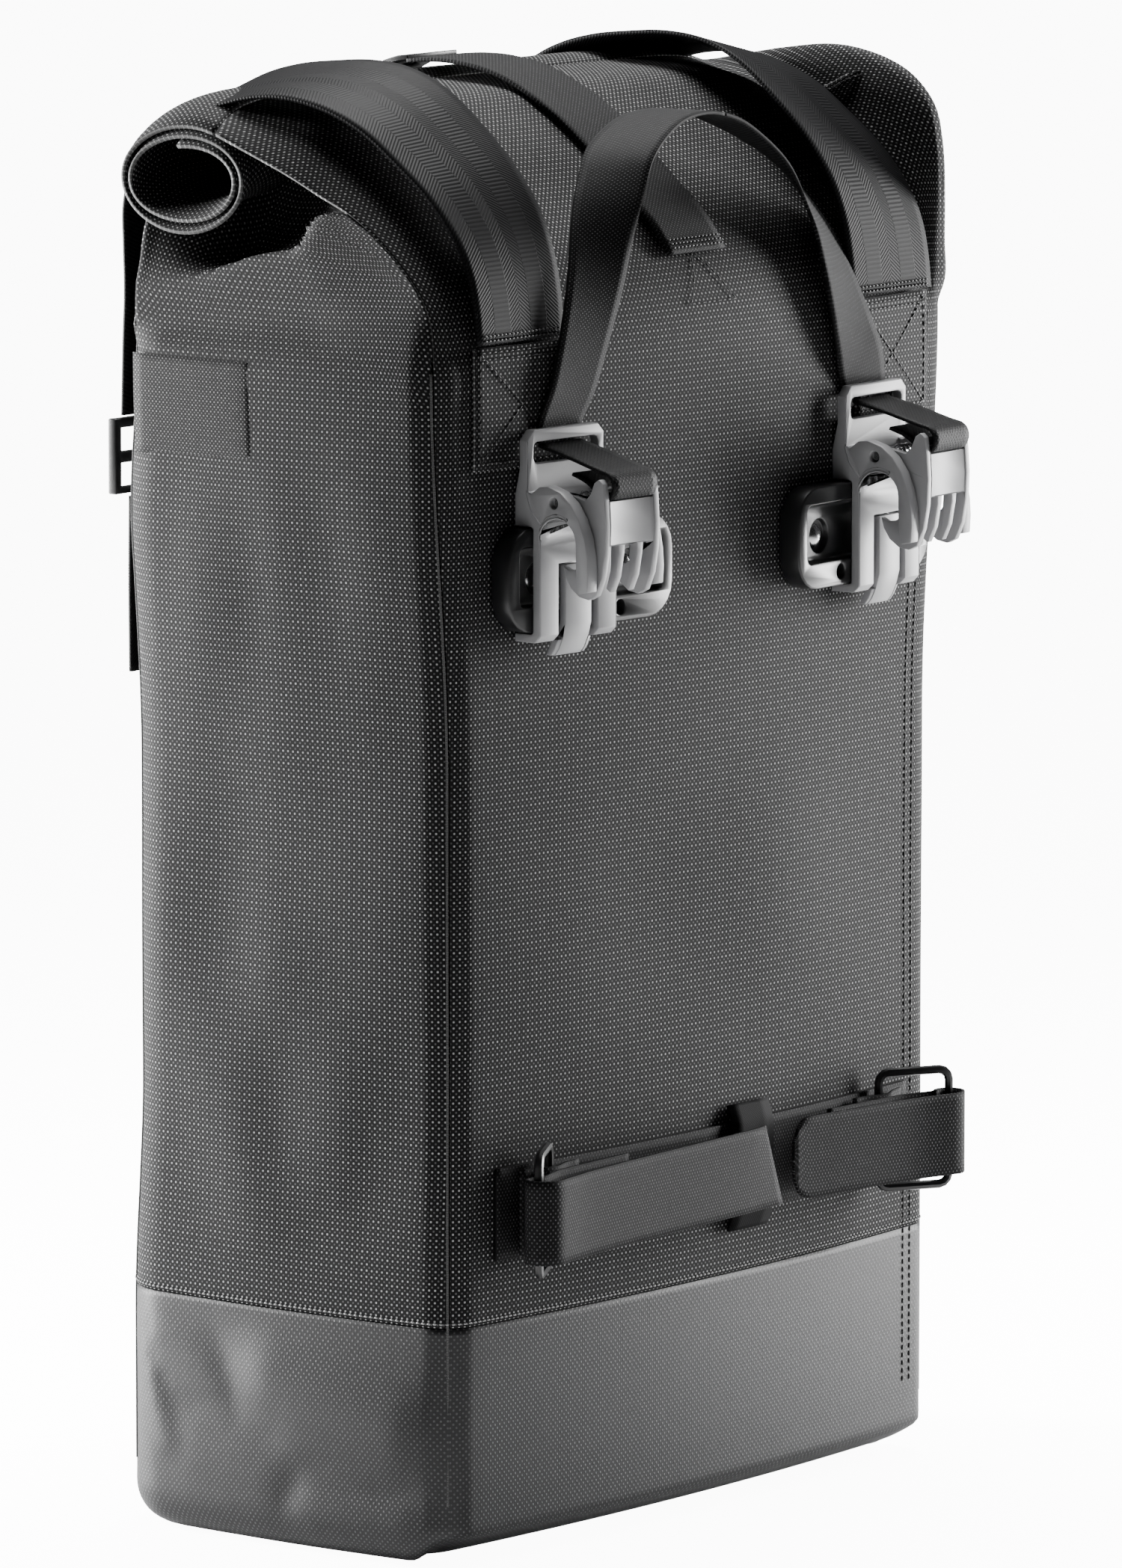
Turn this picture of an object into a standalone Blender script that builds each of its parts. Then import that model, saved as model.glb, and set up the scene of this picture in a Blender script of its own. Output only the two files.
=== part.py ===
"""Roll-top bicycle pannier bag with two rail-mounted rack hooks.

Lengths below are in millimetres and MM turns them into Blender's metres.
+Z is up, +X runs along the rack face and -Y points from that face towards the bicycle rack.
The origin is the centre of the base.
"""

import math

import bmesh
import bpy
from mathutils import Matrix, Vector

MM = 0.001

# Bag body
BASE_HALF_WIDTH = 148.0
TOP_HALF_WIDTH = 157.0
RACK_FACE_Y = -80.0
OUTER_FACE_Y = 76.0
RACK_BULGE = 8.5
OUTER_BULGE = 7.0
SIDE_BULGE = 4.0
RACK_CORNER_RADIUS = 12.0
OUTER_CORNER_RADIUS = 24.0
BAND_HEIGHT = 90.0
SHOULDER_HEIGHT = 440.0
FABRIC = 1.6
SEAM_GAP = 1.0

# Rolled mouth: an ellipse in the Y-Z plane that winds inwards, lower at its ends than in the middle
ROLL_HALF_DEPTH = 31.0
ROLL_HALF_HEIGHT = 21.0
ROLL_PITCH = 3.6
ROLL_TURNS = 2.1
ROLL_START = math.radians(-28)
ROLL_MIDDLE = (44.0, 514.0)
ROLL_END = (41.0, 502.5)
ROLL_HALF_LENGTH = 151.0

# Rack hardware, in a frame on each rail's back face: x along the rail, -y towards the rack, z up
RAIL_X = 83.0
RAIL_Y = -86.1
RAIL_Z = 362.5
RAIL_TILT = math.radians(3.8)
RAIL_LENGTH = 90.0
RAIL_HEIGHT = 38.2
RAIL_DEPTH = 8.8
SCREW_SPACING = 50.0
HOOK_OFFSET = 11.5
HOOK_WIDTH = 42.0
CHEEK = 5.4
HOOK_TOP = 54.4
JAW = (21.0, 39.6)
JAW_RADIUS = 8.5
PIVOT = (19.0, 25.3)
LATCH_WIDTH = 29.8
LATCH_WALL = 3.0
TONGUE_WIDTH = 14.2
TONGUE_WINDOW = 21.6

# Webbing
WEBBING = 1.4
WIDE_STRAP = (88.0, 138.0)
CENTRE_STRAP_WIDTH = 34.0
HANDLE_WIDTH = 25.0
LOOP_WIDTH = 24.0
LOWER_STRAP_Z = (113.0, 147.0)

SIDES = {"left": -1, "right": 1}

for old in list(bpy.data.objects):
    bpy.data.objects.remove(old, do_unlink=True)

bag = bpy.data.collections.new("pannier_bag")
cutters = bpy.data.collections.new("cutters")
bpy.context.scene.collection.children.link(bag)
bpy.context.scene.collection.children.link(cutters)


# ---------------------------------------------------------------- materials

def material(name, colour, roughness, metallic=0.0):
    made = bpy.data.materials.new(name)
    made.use_nodes = True
    shader = made.node_tree.nodes["Principled BSDF"]
    shader.inputs["Base Color"].default_value = (*colour, 1.0)
    shader.inputs["Roughness"].default_value = roughness
    shader.inputs["Metallic"].default_value = metallic
    return made


FABRIC_BLACK = material("woven_fabric", (0.060, 0.060, 0.062), 0.75)
FABRIC_COATED = material("coated_fabric", (0.110, 0.110, 0.112), 0.55)
WEBBING_BLACK = material("webbing", (0.020, 0.020, 0.021), 0.65)
PLASTIC_GREY = material("grey_plastic", (0.190, 0.190, 0.195), 0.42)
PLASTIC_BLACK = material("black_plastic", (0.015, 0.015, 0.016), 0.35)
STEEL = material("bright_steel", (0.620, 0.620, 0.630), 0.25, 1.0)
METAL_BLACK = material("black_metal", (0.030, 0.030, 0.032), 0.35, 1.0)
BOARD = material("stiffener_sheet", (0.080, 0.080, 0.080), 0.60)


# ---------------------------------------------------------------- helpers

def smooth(t):
    t = min(max(t, 0.0), 1.0)
    return t * t * (3.0 - 2.0 * t)


def mix(a, b, t):
    return a + (b - a) * t


def add(name, mesh, surface, frame=None, home=bag):
    """Puts a mesh in the scene as a named object, under a frame empty when one is given."""
    mesh.materials.clear()
    mesh.materials.append(surface)
    piece = bpy.data.objects.new(name, mesh)
    home.objects.link(piece)
    piece.parent = frame
    return piece


def mesh_of(bm, name):
    """Ends a bmesh as a mesh whose faces point out."""
    bmesh.ops.recalc_face_normals(bm, faces=bm.faces)
    if bm.calc_volume(signed=True) < 0:
        bmesh.ops.reverse_faces(bm, faces=bm.faces)
    mesh = bpy.data.meshes.new(name)
    bm.to_mesh(mesh)
    bm.free()
    return mesh


def sheet(name, rows, thickness, surface, frame=None, around=False, floor=False):
    """A lofted sheet through rows of points, thickened away from its outer side.

    around joins each row's last point to its first, and floor closes the last row.
    Rows and columns run so that the outer side faces out.
    """
    bm = bmesh.new()
    grid = [[bm.verts.new(Vector(p) * MM) for p in row] for row in rows]
    columns = len(rows[0])
    for upper, lower in zip(grid, grid[1:]):
        for k in range(columns if around else columns - 1):
            n = (k + 1) % columns
            bm.faces.new((upper[k], lower[k], lower[n], upper[n]))
    if floor:
        bm.faces.new(grid[-1][::-1])
    mesh = bpy.data.meshes.new(name)
    bm.to_mesh(mesh)
    bm.free()
    mesh.shade_smooth()
    piece = add(name, mesh, surface, frame)
    wall = piece.modifiers.new("thickness", "SOLIDIFY")
    wall.thickness = thickness * MM
    wall.offset = -1.0
    wall.use_even_offset = True
    return piece


def ribbon(name, centres, across, width, thickness, surface, frame=None):
    """A strap: a strip of the given width through centre points, across giving its width direction."""
    rows = []
    for k, centre in enumerate(centres):
        side = Vector(across[k]) if isinstance(across, list) else Vector(across)
        side = side.normalized() * width / 2
        rows.append([Vector(centre) - side, Vector(centre), Vector(centre) + side])
    return sheet(name, rows, thickness, surface, frame)


def prism(name, outline, x0, x1, surface, frame=None, home=bag):
    """A side outline of (outward, down) points on the hook's own axes, extruded from x0 to x1."""
    curve = bpy.data.curves.new(name, "CURVE")
    curve.dimensions = "2D"
    curve.fill_mode = "BOTH"
    curve.extrude = (x1 - x0) / 2 * MM
    spline = curve.splines.new("POLY")
    spline.points.add(len(outline) - 1)
    for point, (out, down) in zip(spline.points, outline):
        point.co = (-out * MM, (HOOK_TOP - down) * MM, 0.0, 1.0)
    spline.use_cyclic_u = True
    return from_curve(name, curve, side_frame((x0 + x1) / 2), surface, frame, home)


def from_curve(name, curve, placed, surface, frame=None, home=bag):
    """Turns a curve into a closed mesh object, with its loose caps welded."""
    guide = bpy.data.objects.new(name + "_curve", curve)
    cutters.objects.link(guide)
    bpy.context.view_layer.update()
    graph = bpy.context.evaluated_depsgraph_get()
    mesh = bpy.data.meshes.new_from_object(guide.evaluated_get(graph))
    bpy.data.objects.remove(guide, do_unlink=True)
    bm = bmesh.new()
    bm.from_mesh(mesh)
    bmesh.ops.remove_doubles(bm, verts=bm.verts, dist=0.00002)
    bm.transform(placed)
    mesh = mesh_of(bm, name)
    return add(name, mesh, surface, frame, home)


def side_frame(x):
    """Maps a curve's own X, Y, Z to the hook frame's Y, Z, X."""
    turned = Matrix(((0, 0, 1, 0), (1, 0, 0, 0), (0, 1, 0, 0), (0, 0, 0, 1)))
    return Matrix.Translation((x * MM, 0, 0)) @ turned


def block(name, low, high, surface, frame=None, home=bag):
    bm = bmesh.new()
    bmesh.ops.create_cube(bm, size=1.0)
    low, high = Vector(low) * MM, Vector(high) * MM
    for vert in bm.verts:
        vert.co = [mix(low[i], high[i], vert.co[i] + 0.5) for i in range(3)]
    return add(name, mesh_of(bm, name), surface, frame, home)


def round_edges(piece, width, segments=2, angle=40):
    edge = piece.modifiers.new("rounded_edges", "BEVEL")
    edge.width = width * MM
    edge.segments = segments
    edge.limit_method = "ANGLE"
    edge.angle_limit = math.radians(angle)
    return piece


def rod(name, start, end, radius, surface, frame=None, home=bag, sides=20, far_radius=None):
    start, end = Vector(start) * MM, Vector(end) * MM
    far = radius if far_radius is None else far_radius
    bm = bmesh.new()
    bmesh.ops.create_cone(bm, cap_ends=True, segments=sides, radius1=radius * MM,
                          radius2=far * MM, depth=(end - start).length)
    turn = (end - start).to_track_quat("Z", "Y").to_matrix().to_4x4()
    bm.transform(Matrix.Translation((start + end) / 2) @ turn)
    return add(name, mesh_of(bm, name), surface, frame, home)


def wire(name, points, radius, surface, frame=None, closed=False, resolution=2):
    curve = bpy.data.curves.new(name, "CURVE")
    curve.dimensions = "3D"
    curve.bevel_depth = radius * MM
    curve.bevel_resolution = resolution
    curve.use_fill_caps = True
    spline = curve.splines.new("POLY")
    spline.points.add(len(points) - 1)
    for point, place in zip(spline.points, points):
        point.co = (*(Vector(place) * MM), 1.0)
    spline.use_cyclic_u = closed
    return from_curve(name, curve, Matrix.Identity(4), surface, frame)


def boolean(piece, other, operation):
    """Cuts or joins other into piece, and keeps other as a hidden cutter."""
    step = piece.modifiers.new(operation.lower(), "BOOLEAN")
    step.operation = operation
    step.object = other
    step.solver = "EXACT"
    if other.name in bag.objects:
        bag.objects.unlink(other)
        cutters.objects.link(other)
    other.hide_render = True
    other.display_type = "WIRE"


def arc(centre, radius, start, end, count):
    """Points on a circle from start to end degrees, measured from the outward axis towards up."""
    for k in range(count + 1):
        a = math.radians(mix(start, end, k / count))
        yield centre[0] + radius * math.cos(a), centre[1] - radius * math.sin(a)


# ---------------------------------------------------------------- shape of the filled bag

def half_width(z):
    return mix(BASE_HALF_WIDTH, TOP_HALF_WIDTH, smooth((z - 290) / 150))


def outer_y(z):
    return OUTER_FACE_Y + 4 * smooth((170 - z) / 90) - 6 * smooth((z - 370) / 70)


def section(side, z):
    """One panel's outer line at height z, from seam to seam, anticlockwise seen from above."""
    w, front, back = half_width(z), RACK_FACE_Y, outer_y(z)
    rr, ro = RACK_CORNER_RADIUS, OUTER_CORNER_RADIUS
    corners = {
        "rack": ((-w + rr, front + rr, rr, 225, 270), (w - rr, front + rr, rr, 270, 315), 11),
        "right": ((w - rr, front + rr, rr, 315, 360), (w - ro, back - ro, ro, 0, 45), 5),
        "outer": ((w - ro, back - ro, ro, 45, 90), (-w + ro, back - ro, ro, 90, 135), 9),
        "left": ((-w + ro, back - ro, ro, 135, 180), (-w + rr, front + rr, rr, 180, 225), 5),
    }
    first, last, between = corners[side]
    line = []
    for cx, cy, r, a0, a1 in (first, last):
        trim = math.degrees(SEAM_GAP / 2 / r)
        a0 = a0 + trim if (cx, cy, r, a0, a1) == first else a0
        a1 = a1 - trim if (cx, cy, r, a0, a1) == last else a1
        for k in range(4):
            a = math.radians(mix(a0, a1, k / 3))
            line.append((cx + r * math.cos(a), cy + r * math.sin(a)))
    start, end = line[3], line[4]
    straight = [tuple(mix(start[i], end[i], k / between) for i in (0, 1)) for k in range(1, between)]
    line[4:4] = straight
    return [bulged(x, y, z) for x, y in line]


def bulged(x, y, z):
    """Pushes a point of the plain section out to the filled shape."""
    w, back = half_width(z), outer_y(z)
    middle, half = (back + RACK_FACE_Y) / 2, (back - RACK_FACE_Y) / 2
    across = 1 - (x / w) ** 2
    along = 1 - ((y - middle) / half) ** 2
    y2 = y + (OUTER_BULGE if y > middle else -RACK_BULGE) * across
    x2 = x + math.copysign(SIDE_BULGE, x) * along
    return x2, y2, z


def rack_face(x, z=130.0):
    return bulged(x, RACK_FACE_Y, z)[1]


def outer_face(x, z):
    return bulged(x, outer_y(z), z)[1]


def roll_point(angle, u, shrink=0.0):
    """A point on the rolled mouth, u from -1 to 1 along it and angle from the top towards +Y."""
    turned = (angle - ROLL_START) / (2 * math.pi)
    drop = abs(u) ** 2.5
    cy, cz = (mix(ROLL_MIDDLE[i], ROLL_END[i], drop) for i in (0, 1))
    a = ROLL_HALF_DEPTH - ROLL_PITCH * turned - shrink
    b = ROLL_HALF_HEIGHT - ROLL_PITCH * turned - shrink
    return u * ROLL_HALF_LENGTH, cy + a * math.sin(angle), cz + b * math.cos(angle)


# Shoulder of the rack panel as (y, z), along its middle and along its two ends
SHOULDER_MIDDLE = [(-87.0, 452), (-82.5, 463.5), (-75.0, 474), (-64.0, 485.5), (-50.0, 499),
                   (-35.0, 511.5), (-20.0, 522), (-3.0, 530)]
SHOULDER_END = [(-76.5, 451), (-74.0, 460), (-68.0, 469.5), (-59.0, 479), (-48.0, 488),
                (-36.0, 495.5), (-22.0, 501.5), (-5.0, 509)]
APEX_ROW = 5
GUSSET_OUTER = (63.0, 463.5)
GUSSET_TUCK = 34.0


def shoulder_rows(columns):
    """The rack panel from the shoulder to the start of the roll, one row of columns per step."""
    rows = []
    steps = len(SHOULDER_MIDDLE)
    for k in range(steps + 1):
        t = (k + 1) / (steps + 1)
        row = []
        for u in columns:
            if k == steps:
                x, y, z = roll_point(ROLL_START - 0.012, u)
            else:
                drop = mix(abs(u) ** 2, abs(u) ** 5, smooth(t * 2))
                y = mix(SHOULDER_MIDDLE[k][0], SHOULDER_END[k][0], drop)
                z = mix(SHOULDER_MIDDLE[k][1], SHOULDER_END[k][1], drop)
                x = u * (ROLL_HALF_LENGTH - 1.6)
            row.append((x, y, z))
        rows.append(row)
    return rows


# ---------------------------------------------------------------- bag body

def make_rack_panel():
    heights = [BAND_HEIGHT + 0.25, 130, 190, 250, 310, 362, 405, SHOULDER_HEIGHT]
    rows = [section("rack", z) for z in heights]
    end = abs(rows[-1][0][0])
    columns = [p[0] / end for p in rows[-1]]
    rows += shoulder_rows(columns)
    panel = sheet("rack_panel", rows[::-1], FABRIC, FABRIC_BLACK)
    return panel


def make_side_panel(side):
    mirror = SIDES[side]
    name = side + "_side_panel"
    heights = [BAND_HEIGHT + 0.25, 150, 230, 310, 380, SHOULDER_HEIGHT]
    rows = [section("right", z) for z in heights]
    base = rows[-1]
    y0, y1 = base[0][1], base[-1][1]
    seam = [(base[0][1], SHOULDER_HEIGHT)] + SHOULDER_END[:APEX_ROW + 1]
    for k in range(1, len(seam)):
        t = k / (len(seam) - 1)
        start_y, start_z = seam[k]
        end_y, end_z = mix(y1, GUSSET_OUTER[0], t), mix(SHOULDER_HEIGHT, GUSSET_OUTER[1], t)
        row = []
        for x, y, _ in base:
            v = (y - y0) / (y1 - y0)
            edge = mix(TOP_HALF_WIDTH - 3.0, TOP_HALF_WIDTH - 5.0, v)
            out = mix(x, edge + 2 * v * (1 - v), 1 if v == 0 else smooth(t))
            row.append((out, mix(start_y, end_y, v), mix(start_z, end_z, v) - 0.35))
        rows.append(row)
    fold = rows[-1]
    tuck = []
    for k, (x, y, z) in enumerate(fold):
        v = (y - fold[0][1]) / (fold[-1][1] - fold[0][1])
        depth = GUSSET_TUCK * math.sin(math.pi * min(max(v, 0.04), 0.96)) ** 0.7
        tuck.append((x - depth, y, z - 2.5))
    rows.append([(mix(a[0], b[0], 0.12), a[1], a[2] + 0.9) for a, b in zip(fold, tuck)])
    rows.append(tuck)
    if mirror < 0:
        rows = [[(-x, y, z) for x, y, z in row[::-1]] for row in rows]
    sheet(name, rows[::-1], FABRIC, FABRIC_BLACK)


def make_outer_panel():
    heights = [BAND_HEIGHT + 0.25, 150, 230, 310, 380, SHOULDER_HEIGHT]
    rows = [section("outer", z) for z in heights]
    end = rows[-1][0][0]
    columns = [p[0] / end for p in rows[-1]]
    tuck = [(GUSSET_OUTER[0] - 0.3, GUSSET_OUTER[1] - 8, 79.0, 457, end - 1.5),
            (55.0, 468, 68.0, 472, 112), (39.0, 472, 50.0, 480, 104), (27.0, 473, 34.0, 484, 98)]
    for y_end, z_end, y_middle, z_middle, half in tuck:
        row = []
        for u in columns:
            drop = abs(u) ** 4
            row.append((u * half, mix(y_middle, y_end, drop), mix(z_middle, z_end, drop)))
        rows.append(row)
    sheet("outer_panel", rows[::-1], FABRIC, FABRIC_BLACK)


def make_boot():
    """The coated band and floor: flat in the middle, with a longer slope below the rack face."""
    def ring(z):
        return [p for side in ("rack", "right", "outer", "left") for p in section(side, z)]

    rows = [ring(z) for z in (BAND_HEIGHT - 0.25, 60, 32)]
    middle, half = (OUTER_FACE_Y + RACK_FACE_Y) / 2, (OUTER_FACE_Y - RACK_FACE_Y) / 2
    steps = [(14, 14, 0, 0), (4.5, 11, 3, 1.5), (1.2, 4.5, 7, 13), (0, 0, 14, 34)]
    for side_z, rack_z, side_in, rack_in in steps:
        row = []
        for x, y, z in ring(steps[0][0]):
            rackness = smooth((-y - 62) / 16)
            inset = mix(side_in, rack_in, rackness)
            row.append((x * (1 - side_in / BASE_HALF_WIDTH), middle + (y - middle) * (1 - inset / half),
                        mix(side_z, rack_z, rackness)))
        rows.append(row)
    sheet("bottom_boot", rows, FABRIC + 0.4, FABRIC_COATED, around=True, floor=True)


def make_roll():
    """Both panels' ends rolled together: a flattened spiral, drawn as one sheet."""
    steps = 44
    stations = [-1, -0.9, -0.75, -0.5, -0.2, 0.2, 0.5, 0.75, 0.9, 1]
    rows = []
    for k in range(steps + 1):
        angle = ROLL_START + 0.012 + 2 * math.pi * ROLL_TURNS * k / steps
        rows.append([roll_point(angle, u) for u in stations])
    sheet("roll_top", rows[::-1], FABRIC, FABRIC_BLACK)


def make_stiffeners():
    """Sheets inside the bag: a curved one behind the rack panel and a flat board on the floor."""
    inside = FABRIC + 0.5
    back = [[(x, rack_face(x, 300) + inside, z) for x in range(-130, 131, 20)]
            for z in (425, 380, 340, 110)]
    sheet("back_stiffener", back, 2.0, BOARD)
    block("base_stiffener", (-118, -38, 2.4), (118, 56, 5.4), BOARD)


# ---------------------------------------------------------------- rack hardware

def rail_frame(side):
    """The empty that carries one side's rail and hook."""
    empty = bpy.data.objects.new(side + "_rail_frame", None)
    cutters.objects.link(empty)
    empty.location = (SIDES[side] * RAIL_X * MM, RAIL_Y * MM, RAIL_Z * MM)
    empty.rotation_euler = (0, 0, SIDES[side] * RAIL_TILT)
    return empty


def hook_frame(side, rail):
    empty = bpy.data.objects.new(side + "_hook_frame", None)
    cutters.objects.link(empty)
    empty.parent = rail
    empty.location = (SIDES[side] * HOOK_OFFSET * MM, 0, 0)
    return empty


def make_rail(side, frame):
    """A plate with round ends, a recess for the hook's screws and a lower lip with index holes."""
    half_l, half_h = RAIL_LENGTH / 2, RAIL_HEIGHT / 2
    radius = 13.0
    outline = []
    for cx, cz, a0 in ((half_l - radius, half_h - radius, 0), (radius - half_l, half_h - radius, 90),
                       (radius - half_l, radius - half_h, 180), (half_l - radius, radius - half_h, 270)):
        for k in range(6):
            a = math.radians(a0 + 18 * k)
            outline.append((cx + radius * math.cos(a), cz + radius * math.sin(a)))
    curve = bpy.data.curves.new(side + "_rail", "CURVE")
    curve.dimensions = "2D"
    curve.fill_mode = "BOTH"
    curve.extrude = RAIL_DEPTH / 2 * MM
    spline = curve.splines.new("POLY")
    spline.points.add(len(outline) - 1)
    for point, (x, z) in zip(spline.points, outline):
        point.co = (x * MM, z * MM, 0.0, 1.0)
    spline.use_cyclic_u = True
    upright = Matrix.Translation((0, -RAIL_DEPTH / 2 * MM, 0)) @ Matrix.Rotation(math.pi / 2, 4, "X")
    rail = from_curve(side + "_rail", curve, upright, PLASTIC_BLACK, frame)
    round_edges(rail, 1.2, 2, 60)
    recess = block(side + "_recess", (-39, -12, -9.5), (39, -4.6, 12.5), PLASTIC_BLACK, frame, cutters)
    round_edges(recess, 2.5, 2)
    boolean(rail, recess, "DIFFERENCE")
    for k in (-1, 1):
        x = k * SCREW_SPACING / 2
        seat = rod(f"{side}_seat_{k}", (x, -6, 0), (x, -2.2, 0), 6.4, STEEL, frame, cutters, 24)
        boolean(rail, seat, "DIFFERENCE")
        hole = rod(f"{side}_rail_hole_{k}", (x, -6, 0), (x, 3, 0), 2.9, STEEL, frame, cutters, 12)
        boolean(rail, hole, "DIFFERENCE")
    for x in (-16, 0, 16):
        index = rod(f"{side}_index_{x}", (x, -12, -14), (x, -4, -14), 2.9, STEEL, frame, cutters, 16)
        boolean(rail, index, "DIFFERENCE")
    return rail


def make_screws(side, frame):
    """Two dome-head screws through rail, fabric and stiffener, and the nut plate behind them."""
    profile = [(0, -4.5), (1.6, -4.35), (3.0, -3.9), (4.0, -3.1), (4.5, -2.5), (2.5, -2.5), (2.5, 9.0),
               (0, 9.0)]
    plate = block(side + "_nut_plate", (-34, 6.2, -8), (34, 8.2, 8), STEEL, frame)
    for k, place in ((-1, "left"), (1, "right")):
        x = k * SCREW_SPACING / 2
        bm = bmesh.new()
        line = [bm.verts.new(Vector((x + r, y, 0)) * MM) for r, y in profile]
        edges = [bm.edges.new(pair) for pair in zip(line, line[1:])]
        bmesh.ops.spin(bm, geom=line + edges, cent=Vector((x, 0, 0)) * MM, axis=(0, 1, 0),
                       angle=2 * math.pi, steps=14, use_merge=True)
        bmesh.ops.remove_doubles(bm, verts=bm.verts, dist=0.00001)
        add(f"{side}_rail_{place}_screw", mesh_of(bm, "screw"), STEEL, frame)
        hole = rod(f"{side}_nut_hole_{k}", (x, 4, 0), (x, 12, 0), 2.8, STEEL, frame, cutters)
        boolean(plate, hole, "DIFFERENCE")


def make_hook(side, frame):
    """The hook body: a back that wraps the rail, two cheeks with the jaw, and a slot for webbing."""
    half = HOOK_WIDTH / 2
    back = [(2.6, 0), (6.5, 0), (6.5, 23), (8.4, 28.4)]
    back += list(arc(JAW, JAW_RADIUS + 1.9, 142, 60, 7)) + list(arc(JAW, JAW_RADIUS + 0.4, 60, 165, 8))
    back += [(12.7, 42), (12.7, 74.5), (10.2, 77), (0.3, 77), (0.3, 74), (8.4, 74), (9.1, 73.2),
             (9.1, 35.6), (8.4, 34.8), (0.3, 34.8), (0.3, 24), (2.6, 14)]
    body = prism(side + "_hook_body", back, -half, half, PLASTIC_GREY, frame)
    round_edges(body, 0.4, 1, 60)
    cheek = [(4, 21), (8.0, 22.8), (12.0, 19.9), (16.0, 19.4), (22.0, 21.2), (27.0, 25.0), (31.0, 30.5),
             (33.8, 37), (35.2, 44), (35.6, 50), (35.2, 56.6), (30.8, 57.4), (29.7, 50)]
    cheek += list(arc(JAW, JAW_RADIUS, 0, 180, 14))
    cheek += [(12.4, 60), (10.4, 60), (9.6, 34.4), (6.6, 33.4), (4.4, 33)]
    for k, x0 in ((-1, -half + 0.05), (1, half - 0.05 - CHEEK)):
        flank = prism(f"{side}_cheek_{k}", cheek, x0, x0 + CHEEK, PLASTIC_GREY, frame)
        boolean(body, flank, "UNION")
    slot = block(side + "_slot", (-17.5, -20, HOOK_TOP - 12.3), (17.5, 20, HOOK_TOP - 4.3),
                 PLASTIC_GREY, frame, cutters)
    round_edges(slot, 2.0, 2)
    boolean(body, slot, "DIFFERENCE")
    window = block(side + "_window", (-TONGUE_WINDOW / 2, -20, HOOK_TOP - 84),
                   (TONGUE_WINDOW / 2, 6, HOOK_TOP - 48.6), PLASTIC_GREY, frame, cutters)
    boolean(body, window, "DIFFERENCE")
    pin_hole = rod(side + "_pin_hole", (-30, -PIVOT[0], HOOK_TOP - PIVOT[1]),
                   (30, -PIVOT[0], HOOK_TOP - PIVOT[1]), 2.1, STEEL, frame, cutters, 16)
    boolean(body, pin_hole, "DIFFERENCE")
    for k in (-1, 1):
        wedge = block(f"{side}_corner_{k}", (-9, -20, -9), (9, 20, 9), PLASTIC_GREY, frame, cutters)
        wedge.location = (k * (half + 4.6) * MM, 0, (HOOK_TOP + 4.6) * MM)
        wedge.rotation_euler = (0, math.radians(45), 0)
        boolean(body, wedge, "DIFFERENCE")


def make_latch(side, frame):
    """The sprung latch: two walls with claws and horns, a front plate, ribs and the loop's bar."""
    half = LATCH_WIDTH / 2
    wall = list(arc(PIVOT, 3.2, 215, 60, 6))
    wall += [(24, 22.9), (29, 24.0), (31.5, 21.5), (33.2, 17.4), (35.5, 15.9), (37.4, 17.6), (38.2, 24),
             (38.8, 33), (38.4, 43), (36.8, 52), (34, 58.5), (30.5, 60.2), (26, 59.4), (22, 56.6),
             (19.4, 52.6), (18.3, 48.6)]
    wall += [(21, 50.0), (24.5, 49.6), (28.0, 47.4), (30.2, 43.6), (31.0, 38), (29.9, 33), (26, 29.4),
             (21.6, 28.3)]
    name = side + "_latch"
    latch = prism(name, wall, -half, -half + LATCH_WALL, PLASTIC_GREY, frame)
    other = prism(side + "_latch_wall", wall, half - LATCH_WALL, half, PLASTIC_GREY, frame)
    boolean(latch, other, "UNION")
    plate = [(30.0, 24.6), (38.0, 24.0), (38.6, 33), (38.3, 40), (35.0, 41), (33.6, 33)]
    boolean(latch, prism(side + "_plate", plate, 1 - half, half - 1, PLASTIC_GREY, frame), "UNION")
    rib = [(34.6, 38), (38.2, 38), (37.9, 43), (36.3, 52), (33.6, 58), (31.6, 56.6), (33.6, 50)]
    for k in (-1, 1):
        x = k * half / 3
        boolean(latch, prism(f"{side}_rib_{k}", rib, x - 1.6, x + 1.6, PLASTIC_GREY, frame), "UNION")
    hub = rod(side + "_hub", (1 - half, -PIVOT[0], HOOK_TOP - PIVOT[1]),
              (half - 1, -PIVOT[0], HOOK_TOP - PIVOT[1]), 2.9, PLASTIC_GREY, frame, bag, 16)
    boolean(latch, hub, "UNION")
    bore = rod(side + "_bore", (-30, -PIVOT[0], HOOK_TOP - PIVOT[1]),
               (30, -PIVOT[0], HOOK_TOP - PIVOT[1]), 2.05, STEEL, frame, cutters, 12)
    boolean(latch, bore, "DIFFERENCE")
    gap = block(side + "_hub_gap", (-9, -PIVOT[0] - 3.6, HOOK_TOP - 29), (9, -PIVOT[0] + 4, HOOK_TOP - 20),
                PLASTIC_GREY, frame, cutters)
    boolean(latch, gap, "DIFFERENCE")
    bar = rod(side + "_loop_bar", (1 - half, -34.8, HOOK_TOP - 19.4), (half - 1, -34.8, HOOK_TOP - 19.4),
              1.5, PLASTIC_GREY, frame, bag, 12)
    boolean(latch, bar, "UNION")


def make_pin_and_spring(side, frame):
    y, z = -PIVOT[0], HOOK_TOP - PIVOT[1]
    rod(side + "_latch_pin", (-19.4, y, z), (19.4, y, z), 1.7, STEEL, frame, bag, 12)
    turns, steps, radius, start, pitch = 3, 10, 2.9, -4.5, 3.0
    coil = []
    for k in range(turns * steps + 1):
        a = 2 * math.pi * k / steps
        coil.append((start + pitch * k / steps, y + radius * math.cos(a), z + radius * math.sin(a)))
    wire(side + "_latch_spring", coil, 0.45, STEEL, frame, resolution=1)


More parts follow.
